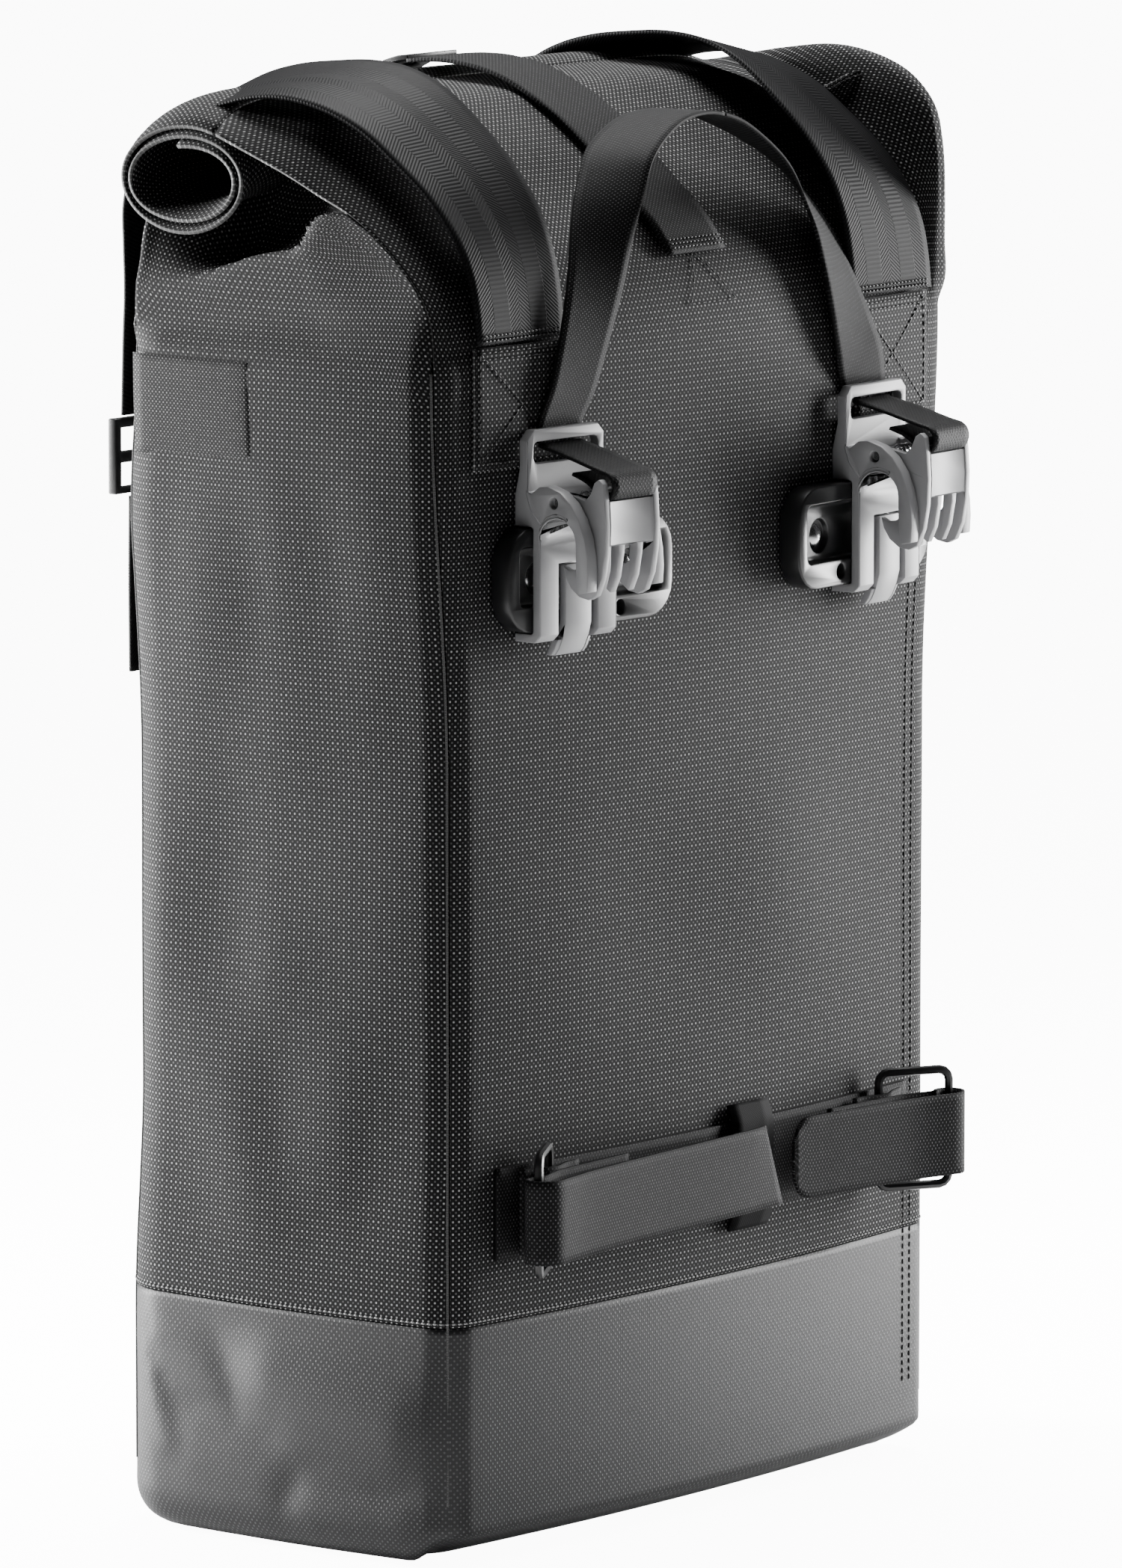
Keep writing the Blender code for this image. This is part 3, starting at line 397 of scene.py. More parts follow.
FACE_FOOT = BAND_TOP + 0.25
face_heights = [FACE_FOOT + k * (SHOULDER - FACE_FOOT) / 22 for k in range(23)]
lines = [section("rack", z, 44) for z in face_heights]
columns = []
for i, top in enumerate(lines[-1]):
    u = top[0] / abs(lines[-1][0][0])
    column = [line[i] for line in lines]
    ear = smooth((u - 0.915) / 0.055)
    for k, (middle, end, raised) in enumerate(zip(SHOULDER_MIDDLE, SHOULDER_END, SHOULDER_EAR)):
        t = (k + 1) / (len(SHOULDER_MIDDLE) + 1)
        drop = mix(mix(abs(u) ** 2, abs(u) ** 9, smooth(t * 1.8)), 1.0, ear)
        x = mix(top[0], u * (ROLL_HALF_LENGTH + 0.5), smooth((k + 1) / 3))
        y, z = (mix(m, mix(e, r, ear), drop) for m, e, r in zip(middle, end, raised))
        column.append((x, y, z))
    column.append(roll_point(ROLL_START - 0.012, u))
    columns.append(column)
rack_panel, width, length, area = cloth("rack_panel_cloth", columns, 170, FABRIC, PANEL_WALL, EDGE_CLOTH_WITH_HIGHLIGHT)
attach(rack_panel, "bag")
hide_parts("rack_panel")


# ------------------------------------------------------------------ side panels
# One panel on each side in the same cloth. Above the shoulder each is folded on a slanting line
# and tucked in below the roll, which leaves a dark pocket at each end of the mouth.

# APEX counts the shoulder's points up to the fold, and both lines are (y, z) points from the rack
# side to the outer side.
APEX = 5
TUCK_DEPTH = 42
FOLD_LINE = {"left": [(-36, 495.5), (-20, 484.0), (8, 477.3), (36, 469), (63, 463.5)],
             "right": [(-62, 530.5), (-40, 507.0), (0, 486.0), (34, 472), (63, 463.5)]}
TUCK_LINE = [(-33, 492.5), (-10, 516.0), (12, 512.0), (34, 498.5), (54, 495.0)]


def side_columns(side):
    """Control columns of a side panel on the right, from the rack seam to the outer seam."""
    lines = [section("right", z, 30) for z in face_heights]
    ends = SHOULDER_END if side == "left" else SHOULDER_EAR
    seam = [(lines[-1][0][1], SHOULDER)] + ends[:APEX + 1]
    y0, y1 = lines[-1][0][1], lines[-1][-1][1]
    columns = []
    for i, (x, y, _) in enumerate(lines[-1]):
        v = (y - y0) / (y1 - y0)
        fold_y, fold_z = through(FOLD_LINE[side], v)
        column = [line[i] for line in lines]
        for k in range(1, len(seam)):
            t = k / (len(seam) - 1)
            edge = 151.8 + 2.2 * smooth(v / 0.3) - 1.5 * v
            lean = mix(seam[k][0] - seam[0][0], t * (fold_y - y), smooth(v / 0.35))
            rise = mix(seam[k][1] - SHOULDER, t * (fold_z - SHOULDER), smooth(v / 0.35))
            column.append((mix(x, edge, smooth(k / 3)), y + lean, SHOULDER + rise - 0.35))

        # Past the fold the cloth turns in and runs to the tuck line, which lies below the roll.
        fx, fy, fz = column[-1]
        depth = math.sin(math.pi * min(max(v, 0.04), 0.97)) ** 0.6
        inner_y, inner_z = through(TUCK_LINE, v)
        puff = smooth((v - 0.62) / 0.3)
        column[-1] = (fx - 0.2, fy, fz - 0.8)
        column.append((fx - 1.6 * depth, fy, fz + 0.3 + 1.2 * puff))
        column.append((fx - mix(9.0, 5.0, puff) * depth, fy - 1.0, fz - 0.6 + 9.0 * puff))
        for inward, share, rise in ((20, 0.3, 0.05 + 0.7 * puff), (32, 0.7, 0.5 + 0.4 * puff)):
            column.append((fx - (inward - 8 * puff) * depth, mix(fy, inner_y, share), mix(fz, inner_z, rise)))
        column.append((fx - TUCK_DEPTH * depth, inner_y, inner_z))
        columns.append(column)
    return columns


for side, sign in (("left", -1), ("right", 1)):
    columns = side_columns(side)
    if sign < 0:
        columns = [[(-x, y, z) for x, y, z in column] for column in columns[::-1]]
    panel, width, length, area = cloth(side + "_side_cloth", columns, 150, FABRIC, PANEL_WALL, EDGE_CLOTH_WITH_HIGHLIGHT)
    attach(panel, "bag")
    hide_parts(side + "_side_panel")


# ------------------------------------------------------------------ outer panel
# The panel away from the rack, in the same cloth. Its top leans in and runs under the rolled
# mouth, which it is rolled up with.

lines = [section("outer", z, 44) for z in face_heights]
# Each row above the shoulder: y and z at its ends, y and z at its middle, and half its length.
TOP_ROWS = [(62.7, 455.5, 79.0, 457, 150), (55.0, 468, 68.0, 472, 112), (39.0, 472, 50.0, 480, 104),
            (27.0, 473, 34.0, 484, 98)]
columns = []
for i, top in enumerate(lines[-1]):
    u = top[0] / lines[-1][0][0]
    column = [line[i] for line in lines]
    drop = abs(u) ** 4
    for y_end, z_end, y_middle, z_middle, half in TOP_ROWS:
        column.append((u * half, mix(y_middle, y_end, drop), mix(z_middle, z_end, drop)))
    columns.append(column)
outer_panel, width, length, area = cloth("outer_panel_cloth", columns, 120, FABRIC, PANEL_WALL, EDGE_CLOTH_WITH_HIGHLIGHT)
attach(outer_panel, "bag")
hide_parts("outer_panel")


# ------------------------------------------------------------------ rolled mouth
# Both panels rolled up together towards the outer face, two turns round a hollow. It is the same
# cloth, and its cut edge shows at both ends as a light spiral line of thread ends and painted highlight.

ROLL_TURNS = 2.1
ROLL_SLACK = 0.7
ALONG, AROUND = 60, 56
columns = []
for i in range(ALONG + 1):
    u = -1 + 2 * i / ALONG
    column = []
    for k in range(AROUND + 1):
        angle = ROLL_START + 0.012 + 2 * math.pi * ROLL_TURNS * k / AROUND
        slack = ROLL_SLACK * noise.noise(Vector((u * 3.0, angle * 0.8, 4.0))) * smooth(k / 6)
        column.append(roll_point(angle, u, slack))
    columns.append(column)
roll, width, length, area = cloth("rolled_mouth", columns, 150, FABRIC, PANEL_WALL, EDGE_CLOTH_WITH_HIGHLIGHT)
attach(roll, "bag")
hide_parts("roll_top")


# ------------------------------------------------------------------ coated base
# The bag's lower band and floor in one tub: oxford cloth with a thick satin coating. It is welded
# to the panels along its top, and creased where the filled bag has been set down.

BOOT_WALL = 2.0
# Each crease runs between two (y, z) points, with its spread and how far it stands out.
CREASES = [((66, 72), (52, 36), 5.0, -1.2), ((54, 76), (4, 44), 11.0, 1.3), ((0, 60), (-54, 50), 19.0, -3.6),
           ((36, 32), (6, 28), 14.0, -1.2), ((-20, 20), (-56, 18), 13.0, 1.3)]
# The rounded lower edge, from the wall to the floor: height at the sides and at the rack face,
# then how far the line is drawn in at each.
EDGE_STEPS = [(14, 14, 0, 0), (9, 12.6, 0.9, 0.4), (4.5, 11, 3, 1.5), (1.4, 6.5, 6.5, 9), (0.3, 2.4, 11, 20),
              (0, 0, 15, 34)]


def crease(y, z):
    """How far the side of the base is pushed in or out at (y, z)."""
    total = 0.0
    for (ay, az), (by, bz), spread, depth in CREASES:
        length2 = (by - ay) ** 2 + (bz - az) ** 2
        t = min(max(((y - ay) * (by - ay) + (z - az) * (bz - az)) / length2, 0), 1)
        away = math.hypot(y - mix(ay, by, t), z - mix(az, bz, t))
        total += depth * math.exp(-(away / spread) ** 2)
    return total


def base_ring(z):
    """The bag's whole outline at height z, seam by seam."""
    return [p for side in ("rack", "right", "outer", "left") for p in section(side, z, 36, 6)]


rings = [base_ring(z) for z in (BAND_TOP - 0.25, 82, 74, 66, 58, 50, 42, 34, 27, 20)]
floor_line = base_ring(EDGE_STEPS[0][0])
MIDDLE_Y, HALF_DEPTH = (OUTER_Y + RACK_Y) / 2, (OUTER_Y - RACK_Y) / 2
for side_z, rack_z, side_in, rack_in in EDGE_STEPS:
    ring = []
    for x, y, z in floor_line:
        rackness = smooth((-y - 62) / 16)
        inset = mix(side_in, rack_in, rackness)
        ring.append((x * (1 - side_in / HALF_WIDTH_LOW), MIDDLE_Y + (y - MIDDLE_Y) * (1 - inset / HALF_DEPTH),
                     mix(side_z, rack_z, rackness)))
    rings.append(ring)
columns = []
for i in range(len(floor_line)):
    column = []
    for ring in rings[::-1]:
        x, y, z = ring[i]
        sideness = smooth((abs(x) - 128) / 14) * smooth(z / 12) * smooth((BAND_TOP - z) / 12)
        push = crease(y if x < 0 else 10 - y, z) * sideness
        column.append((x + math.copysign(push, x), y, max(z, 0.0)))
    columns.append(column)
columns.append(columns[0])

# Coated oxford: a fine grey basket weave under a satin film, so it shines softly along its folds.
COATED, shader = woven("coated_oxford_cloth", "#1c1c1d", "#4e4e4f", 2.4, 2.6, 1.0, 0.48, 1.0, 0.1)
shader.inputs["Specular IOR Level"].default_value = 0.3

base, *_ = cloth("coated_base", columns, 46, COATED, BOOT_WALL, ring=True)
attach(base, "bag")
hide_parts("bottom_boot")


# ------------------------------------------------------------------ seams
# The four upright seams, bound with a narrow piping, and the welded edge along the top of the
# base. Bonded polyester thread shows as a row of short stitches beside them.

def spun(name, dark, light, rough, fibre_size):
    """A spun thread: its colour varies between dark and light from fibre to fibre."""
    made, tree, shader = new_material(name, dark, rough)
    fibre = add_node(tree, "ShaderNodeTexNoise", None, {"Scale": 1 / (fibre_size * MM), "Detail": 2.0})
    spread = add_node(tree, "ShaderNodeMix", {"data_type": "RGBA"},
                      {0: fibre.outputs["Fac"], 6: linear(dark), 7: linear(light)})
    tree.links.new(spread.outputs[2], shader.inputs["Base Color"])
    return made


# Bonded thread: dull black polyester with a slight gloss from its wax.
THREAD = spun("bonded_polyester_thread", "#070708", "#202021", 0.55, 0.6)

# Light thread for the welded edge of the base, where the cloth's own light filling shows.
PALE_THREAD = spun("pale_filling_thread", "#5c5c5d", "#b0b0b0", 0.7, 1.2)


def sew(bm, path, pitch=3.0, length=2.3, thick=0.32):
    """Adds a row of short round stitches along a path given in mm."""
    run = [0.0]
    for a, b in zip(path, path[1:]):
        run.append(run[-1] + math.dist(a, b))
    count = max(int(run[-1] / pitch), 1)
    k = 0
    for step in range(count):
        goal = (step + 0.5) * run[-1] / count
        while k < len(run) - 2 and run[k + 1] < goal:
            k += 1
        a, b = Vector(path[k]), Vector(path[k + 1])
        centre = a.lerp(b, (goal - run[k]) / max(run[k + 1] - run[k], 1e-9))
        turn = (b - a).to_track_quat("Z", "Y").to_matrix().to_4x4()
        shape = Matrix.Diagonal((thick * MM, thick * MM, length / 2 * MM, 1.0))
        bmesh.ops.create_uvsphere(bm, u_segments=6, v_segments=4, radius=1.0,
                                  matrix=Matrix.Translation(centre * MM) @ turn @ shape)


def piping(name, points, radius, finish):
    """A thin round cord sewn into a seam, as a closed mesh."""
    curve = bpy.data.curves.new(name, "CURVE")
    curve.dimensions = "3D"
    curve.bevel_depth = radius * MM
    curve.bevel_resolution = 2
    curve.use_fill_caps = True
    spline = curve.splines.new("POLY")
    spline.points.add(len(points) - 1)
    for point, at in zip(spline.points, points):
        point.co = (*(Vector(at) * MM), 1.0)
    guide = bpy.data.objects.new(name, curve)
    bpy.context.scene.collection.objects.link(guide)
    graph = bpy.context.evaluated_depsgraph_get()
    mesh = bpy.data.meshes.new_from_object(guide.evaluated_get(graph))
    bpy.data.objects.remove(guide, do_unlink=True)
    bm = bmesh.new()
    bm.from_mesh(mesh)
    bmesh.ops.remove_doubles(bm, verts=bm.verts, dist=0.00001)
    bmesh.ops.recalc_face_normals(bm, faces=bm.faces)
    return place_mesh(bm, name, [finish])


PIPING_RADIUS = 0.5
OUTER_SEAM_TOP = (152.0, 61.0, 459.5)
seam_lines = [section("right", z) for z in range(24, 441, 8)]
for side, sign in (("left", -1), ("right", 1)):
    for name, corner, top in (("rack", 0, []), ("outer", -1, [OUTER_SEAM_TOP])):
        seam = [(sign * abs(x), y, z) for x, y, z in [line[corner] for line in seam_lines] + top]
        path = [through(seam, k / 160) for k in range(161)]
        # The piping takes the lighter edge cloth, whose tone paints the highlight along each raised seam.
        cord = piping(f"{side}_{name}_seam_piping", path, PIPING_RADIUS, EDGE_CLOTH_WITH_HIGHLIGHT)
        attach(cord, "bag")

bm = bmesh.new()
ring = [(x * 1.0015, y * 1.0015, z) for x, y, z in base_ring(BAND_TOP + 1.6)]
sew(bm, ring + ring[:1], 2.3, 1.5, 0.45)
edge_thread = place_mesh(bm, "base_edge_thread", [PALE_THREAD])
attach(edge_thread, "bag")

bm = bmesh.new()
for inset in (4.0, 9.0):
    seam = [bulged(half_width(z) - RACK_CORNER - inset, RACK_Y, z) for z in range(30, 441, 10)]
    sew(bm, [(x, y - 0.2, z) for x, y, z in seam])
edge_stitching = place_mesh(bm, "right_edge_stitching", [THREAD])
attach(edge_stitching, "bag")


# ------------------------------------------------------------------ wide straps
# Two 50 mm straps of smooth seat-belt webbing over the rolled mouth, each sewn under a cloth patch
# on the rack face and held by a slide buckle on the outer face.

WEBBING = 1.4
WIDE_STRAP = (88.0, 138.0)
# Each point of the route: y, then the height of the strap's inner and of its outer edge.
WIDE_ROUTE = [(-85.6, 449.2, 449.2), (-84.6, 462, 460), (-81.5, 478, 474), (-75, 494, 487),
              (-63, 510, 501), (-48, 524, 513), (-32, 536, 524), (-15, 543, 531), (3, 545, 534.5),
              (20, 544, 534), (37, 542, 530), (54, 537.5, 525), (68, 530, 516), (77.0, 517, 505),
              (81.0, 499, 491), (81.0, 480, 477), (80.6, 460, 459), (81.4, 440, 440), (82.2, 413, 413)]

# Seat-belt webbing: fine twill that shines like satin, with two raised cross-ribbed stripes.
SATIN_WEBBING, tree, shader = new_material("seat_belt_webbing", "#0e0e0f", 0.55)
shader.inputs["Specular IOR Level"].default_value = 0.07
TWILL, RIB, STRIPE_AT, STRIPE_HALF = 1.5, 1.7, 10.5, 4.5
spot = add_node(tree, "ShaderNodeUVMap", {"uv_map": "UVMap"})
parts = add_node(tree, "ShaderNodeSeparateXYZ", None, {0: spot.outputs[0]})
mirrored = add_node(tree, "ShaderNodeMath", {"operation": "ABSOLUTE"}, {0: parts.outputs["X"]})
slant = add_node(tree, "ShaderNodeMath", {"operation": "MULTIPLY_ADD"},
                 {0: mirrored.outputs[0], 1: 0.8, 2: parts.outputs["Y"]})
waves = []
for source, spacing in ((slant.outputs[0], TWILL), (parts.outputs["Y"], RIB)):
    turn = add_node(tree, "ShaderNodeMath", {"operation": "MULTIPLY"},
                    {0: source, 1: 2 * math.pi / (spacing * MM)})
    waves.append(add_node(tree, "ShaderNodeMath", {"operation": "SINE"}, {0: turn.outputs[0]}))
away = add_node(tree, "ShaderNodeMath", {"operation": "SUBTRACT"},
                {0: mirrored.outputs[0], 1: STRIPE_AT * MM})
away = add_node(tree, "ShaderNodeMath", {"operation": "ABSOLUTE"}, {0: away.outputs[0]})
stripe = add_node(tree, "ShaderNodeMapRange", None,
                  {"Value": away.outputs[0], "From Min": (STRIPE_HALF + 0.3) * MM,
                   "From Max": STRIPE_HALF * MM})
pattern = add_node(tree, "ShaderNodeMix", {"data_type": "FLOAT"},
                   {0: stripe.outputs[0], 2: waves[0].outputs[0], 3: waves[1].outputs[0]})
height = add_node(tree, "ShaderNodeMath", {"operation": "MULTIPLY_ADD"},
                  {0: stripe.outputs[0], 1: 1.0, 2: pattern.outputs[0]})
lightness = add_node(tree, "ShaderNodeMapRange", None,
                     {"Value": pattern.outputs[0], "From Min": -1.0, "From Max": 1.0})
colour = add_node(tree, "ShaderNodeMix", {"data_type": "RGBA"},
                  {0: lightness.outputs[0], 6: linear("#050506"), 7: linear("#1a1a1b")})
bump = add_node(tree, "ShaderNodeBump", None,
                {"Height": height.outputs[0], "Strength": 0.5, "Distance": 0.1 * MM})
tree.links.new(colour.outputs[2], shader.inputs["Base Color"])
tree.links.new(bump.outputs[0], shader.inputs["Normal"])


def box_stitching(bm, corners, surface):
    """A sewn box with its cross and a double row along its top, on a surface y(x, z)."""
    (x0, z0), (x1, z1) = corners
    lines = [((x0, z0), (x1, z0)), ((x1, z0), (x1, z1)), ((x1, z1), (x0, z1)), ((x0, z1), (x0, z0)),
             ((x0, z0), (x1, z1)), ((x0, z1), (x1, z0)), ((x0, z1 - 2.5), (x1, z1 - 2.5))]
    for (ax, az), (bx, bz) in lines:
        path = []
        for k in range(9):
            x, z = mix(ax, bx, k / 8), mix(az, bz, k / 8)
            path.append((x, surface(x, z), z))
        sew(bm, path)


inner, outer = WIDE_STRAP
for side, sign in (("left", -1), ("right", 1)):
    columns = []
    for k in range(17):
        share = k / 16 if sign > 0 else 1 - k / 16
        x = sign * mix(inner, outer, share)
        columns.append([(x, y, mix(z_in, z_out, share)) for y, z_in, z_out in WIDE_ROUTE])
    strap, *_ = cloth(side + "_wide_strap_webbing", columns, 130, SATIN_WEBBING, WEBBING)
    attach(strap, "bag")
    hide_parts(side + "_wide_strap")

    columns = []
    for k in range(13):
        x = mix(sign * inner, sign * outer, k / 12 if sign > 0 else 1 - k / 12)
        columns.append([(x, bulged(x, RACK_Y, z)[1] - proud, z)
                        for z, proud in ((403.5, 1.9), (426, 1.9), (448, 1.6))])
    patch, *_ = cloth(side + "_strap_patch_cloth", columns, 12, FABRIC, 1.0, EDGE_CLOTH_WITH_HIGHLIGHT)
    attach(patch, "bag")
    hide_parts(side + "_strap_patch")

    bm = bmesh.new()
    low, high = sorted((sign * (inner + 2.5), sign * (outer - 2.5)))
    box_stitching(bm, ((low, 406), (high, 446.2)), lambda x, z: bulged(x, RACK_Y, z)[1] - 2.05)
    for z in (450.6, 452.4):
        sew(bm, [(mix(low, high, k / 8), -85.9, z) for k in range(9)], 2.2, 1.8, 0.5)
    stitches = place_mesh(bm, side + "_strap_stitching", [THREAD])
    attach(stitches, "bag")

    columns = []
    for k in range(9):
        x = mix(high + 2.5, low - 2.5, k / 8)
        columns.append([(x, bulged(x, outer_y(z), z)[1] + 0.5 + WEBBING, z) for z in (318, 350, 383.4)])
    anchor, *_ = cloth(side + "_strap_anchor_webbing", columns, 24, SATIN_WEBBING, WEBBING)
    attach(anchor, "bag")
    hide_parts(side + "_strap_anchor")


# ------------------------------------------------------------------ centre strap
# A 34 mm ribbed strap from the shoulder over the roll, with a black metal hook at its end, and
# the narrower webbing on the outer face that the hook catches.

# Ribbed nylon webbing: black, with the light filling thread showing as small dots.
NARROW_WEBBING, shader = woven("ribbed_nylon_webbing", "#070708", "#474748", 2.0, 1.6, 0.8, 0.7, 0.9, 0.2)
shader.inputs["Specular IOR Level"].default_value = 0.12

# Both routes are (y, z) points from the rack side to the outer side.
CENTRE_ROUTE = [(-79.6, 473.0), (-71.5, 484.2), (-57.5, 496.8), (-42.5, 509.6), (-27.5, 521.2), (-10, 531),
                (4, 536.4), (20, 539.2), (33, 539.6), (44, 538.8)]
FRONT_ROUTE = [(68.4, 529.4), (76.8, 519.5), (81.2, 506), (83.2, 490), (83.8, 465), (83.5, 440), (85, 400),
               (86.2, 360), (86.2, 330)]
for name, route, half, rows in (("centre_strap", CENTRE_ROUTE, 17.0, 70),
                                ("front_webbing", FRONT_ROUTE, 12.75, 60)):
    columns = [[(half * (k / 5 - 1), y, z) for y, z in route] for k in range(11)]
    strap, *_ = cloth(name + "_ribbed", columns, rows, NARROW_WEBBING, WEBBING)
    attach(strap, "bag")
    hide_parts(name)

# Three rows close the strap's end, and a triangle of stitches holds it to the shoulder below.
SHOULDER_FACE = [(-86.8, 454.5), (-83.0, 463.5), (-76.5, 472.5)]
TRIANGLE = [(-14, 0.0), (0, 1.0), (14, 0.0), (-14, 0.0)]
bm = bmesh.new()
for t in (0.0, 0.5, 1.0):
    y, z = mix(-78.9, -76.5, t), mix(474.2, 477.0, t)
    sew(bm, [(mix(-15.5, 15.5, n / 8), y - 0.9, z + 0.9) for n in range(9)], 2.2, 1.8, 0.5)
for (ax, at), (bx, bt) in zip(TRIANGLE, TRIANGLE[1:]):
    path = []
    for k in range(9):
        y, z = through(SHOULDER_FACE, mix(at, bt, k / 8))
        path.append((mix(ax, bx, k / 8), y - 0.3, z + 0.2))
    sew(bm, path)
stitches = place_mesh(bm, "centre_strap_stitching", [THREAD])
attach(stitches, "bag")


# ------------------------------------------------------------------ carry handle
# One length of 25 mm ribbed webbing from hook to hook. It lies flat on the rack face at both ends
# and turns on edge over its top, with a hard fold near its left shoulder.

HANDLE_WIDTH = 25.0
HANDLE_WALL = 1.3
HANDLE_ROUTE = [(-94.6, -87.2, 409.5), (-93.6, -87.5, 415), (-92, -88.6, 421), (-88, -90.6, 432),
                (-81.5, -91.4, 452), (-75, -90.6, 470), (-68, -88, 487), (-59, -84.6, 501),
                (-46, -79.6, 513.5), (-22, -73.5, 522.5), (2, -70, 524.5), (24, -68.6, 521),
                (43, -69.4, 513), (60, -71.6, 502), (70.5, -75.6, 489), (75, -82.5, 475),
                (75, -88.6, 461), (78, -91.4, 446), (84, -91, 432), (91, -88.6, 421),
                (93.6, -87.5, 415), (94.6, -87.2, 409.5)]


def handle_centre(t):
    """The middle of the handle's webbing at share t of its route."""
    return Vector(through(HANDLE_ROUTE, min(max(t, 0.0), 1.0)))


def handle_across(t):
    """The width direction at share t: along X at both roots, towards the rack over the top."""
    turn = -math.pi * smooth((t * (len(HANDLE_ROUTE) - 1) - 2) / 17)
    along = (handle_centre(t + 0.01) - handle_centre(t - 0.01)).normalized()
    side = Vector((math.cos(turn), math.sin(turn), 0))
    return (side - along * side.dot(along)).normalized()


for side, sign, t0, t1 in (("left", -1, 0.0, 0.5), ("right", 1, 0.5, 1.0)):
    columns = []
    shares = [mix(t0, t1, n / 32) for n in range(33)]
    for k in range(9):
        off = (k / 8 - 0.5) * HANDLE_WIDTH
        columns.append([tuple(handle_centre(t) + handle_across(t) * off) for t in shares])
    half, *_ = cloth(side + "_handle_half", columns, 90, NARROW_WEBBING, HANDLE_WALL)
    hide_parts("carry_handle")
    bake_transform(half)


# ------------------------------------------------------------------ rails
# Two moulded rails on the rack face, each held by two dome-head screws. Black glass-filled nylon
# with a fine spark-eroded grain and polished edges.

def moulded(name, dark, light, rough, grain):
    """A moulded plastic: a slightly uneven colour and a fine grain of the given size in mm."""
    made, tree, shader = new_material(name, dark, rough)
    spot = add_node(tree, "ShaderNodeTexCoord")
    cloud = add_node(tree, "ShaderNodeTexNoise", None,
                     {"Vector": spot.outputs["Object"], "Scale": 1 / (9 * MM), "Detail": 3.0})
    colour = add_node(tree, "ShaderNodeMix", {"data_type": "RGBA"},
                      {0: cloud.outputs["Fac"], 6: linear(dark), 7: linear(light)})
    pits = add_node(tree, "ShaderNodeTexNoise", None,
                    {"Vector": spot.outputs["Object"], "Scale": 1 / (grain * MM), "Detail": 2.0})
    bump = add_node(tree, "ShaderNodeBump", None, {"Height": pits.outputs["Fac"], "Strength": 0.25,
                                                   "Distance": 0.05 * MM})
    tree.links.new(colour.outputs[2], shader.inputs["Base Color"])
    tree.links.new(bump.outputs[0], shader.inputs["Normal"])
    return made


def refine(node, body, finish, edge, sharp=26):
    """A copy of a moulded or turned piece with its edges rounded by a small bevel."""
    bm = bmesh.new()
    bm.from_mesh(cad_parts[node].data)
    bmesh.ops.remove_doubles(bm, verts=bm.verts, dist=0.00002)
    bmesh.ops.dissolve_limit(bm, angle_limit=math.radians(1.5), verts=bm.verts, edges=bm.edges)
    if edge:
        corners = [e for e in bm.edges if e.is_manifold and e.calc_face_angle() > math.radians(sharp)]
        bmesh.ops.bevel(bm, geom=corners, offset=edge * MM, offset_type="OFFSET", segments=2, profile=0.5,
                        affect="EDGES", clamp_overlap=False, material=-1)
    piece = place_mesh(bm, node + "_finished", [finish])
    piece.data.set_sharp_from_angle(angle=math.radians(38))
    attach(piece, body)
    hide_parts(node)


# Glass-filled nylon: near black, satin, with bright lines only where its edges catch the light.
BLACK_NYLON = moulded("black_glass_filled_nylon", "#0c0c0d", "#1c1c1d", 0.33, 0.5)

# Acetal for the hooks: a mid grey with a soft satin moulded face.
GREY_ACETAL = moulded("grey_acetal", "#88888a", "#969697", 0.42, 0.35)

# Stainless steel, turned and polished: bright, with faint turning marks.
STAINLESS, tree, shader = new_material("polished_stainless_steel", "#c9c9ca", 0.18, 1.0)
spot = add_node(tree, "ShaderNodeTexCoord")
marks = add_node(tree, "ShaderNodeTexNoise", None,
                 {"Vector": spot.outputs["Object"], "Scale": 1 / (1.5 * MM), "Detail": 3.0})
uneven = add_node(tree, "ShaderNodeMapRange", None,
                  {"Value": marks.outputs["Fac"], "To Min": 0.12, "To Max": 0.32})
tree.links.new(uneven.outputs[0], shader.inputs["Roughness"])

for side in ("left", "right"):
    refine(side + "_rail", "bag", BLACK_NYLON, 0.45)
    for place in ("left", "right"):
        refine(f"{side}_rail_{place}_screw", "bag", STAINLESS, 0.0)
    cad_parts[side + "_nut_plate"].material_slots[0].material = STAINLESS


# ------------------------------------------------------------------ hooks
# Each hook slides on its rail: a grey body with the jaw for the rack tube, a sprung latch that
# closes the jaw, its steel pin and spring, and a tongue that locks the hook to the rail.

for side in ("left", "right"):
    hook = side + "_hook"
    refine(side + "_hook_body", hook, GREY_ACETAL, 0.4)
    refine(side + "_latch", side + "_latch", GREY_ACETAL, 0.35)
    refine(side + "_lock_tongue", side + "_lock", GREY_ACETAL, 0.35)
    refine(side + "_latch_pin", hook, STAINLESS, 0.0)
    refine(side + "_latch_spring", hook, STAINLESS, 0.0)


# ------------------------------------------------------------------ pull loops
# Short webbing through each hook's top slot and round the latch's bar, sewn back on itself. It is
# the end of the carry handle, so a pull on the handle opens the latch.

# The middle of a hook at rest, and the loop's route as distance out of the rail and down the hook.
RAIL_X, RAIL_Y, RAIL_Z, RAIL_TILT = 83.0, -86.1, 362.5, math.radians(3.8)
HOOK_OFFSET, HOOK_TOP = 11.5, 54.4
PULL_HALF_WIDTH = 11.7
PULL_LOOP = [(3.2, 6.6), (5.5, 7.4), (8.5, 8.0), (18, 10.2), (27, 12.6), (33, 14.2), (36.6, 15.0),
             (38.8, 17.0), (38.9, 20.2), (36.8, 22.9), (33.2, 22.9), (30.6, 19.6), (26, 16.8), (20, 14.8)]


def hook_point(side, x, outward, down):
    """A point in the hook's own axes, in mm, as a world point in mm."""
    sign = -1 if side == "left" else 1
    a = sign * RAIL_TILT
    along, y = x + sign * HOOK_OFFSET, -outward
    return (sign * RAIL_X + along * math.cos(a) - y * math.sin(a),
            RAIL_Y + along * math.sin(a) + y * math.cos(a), RAIL_Z + HOOK_TOP - down)


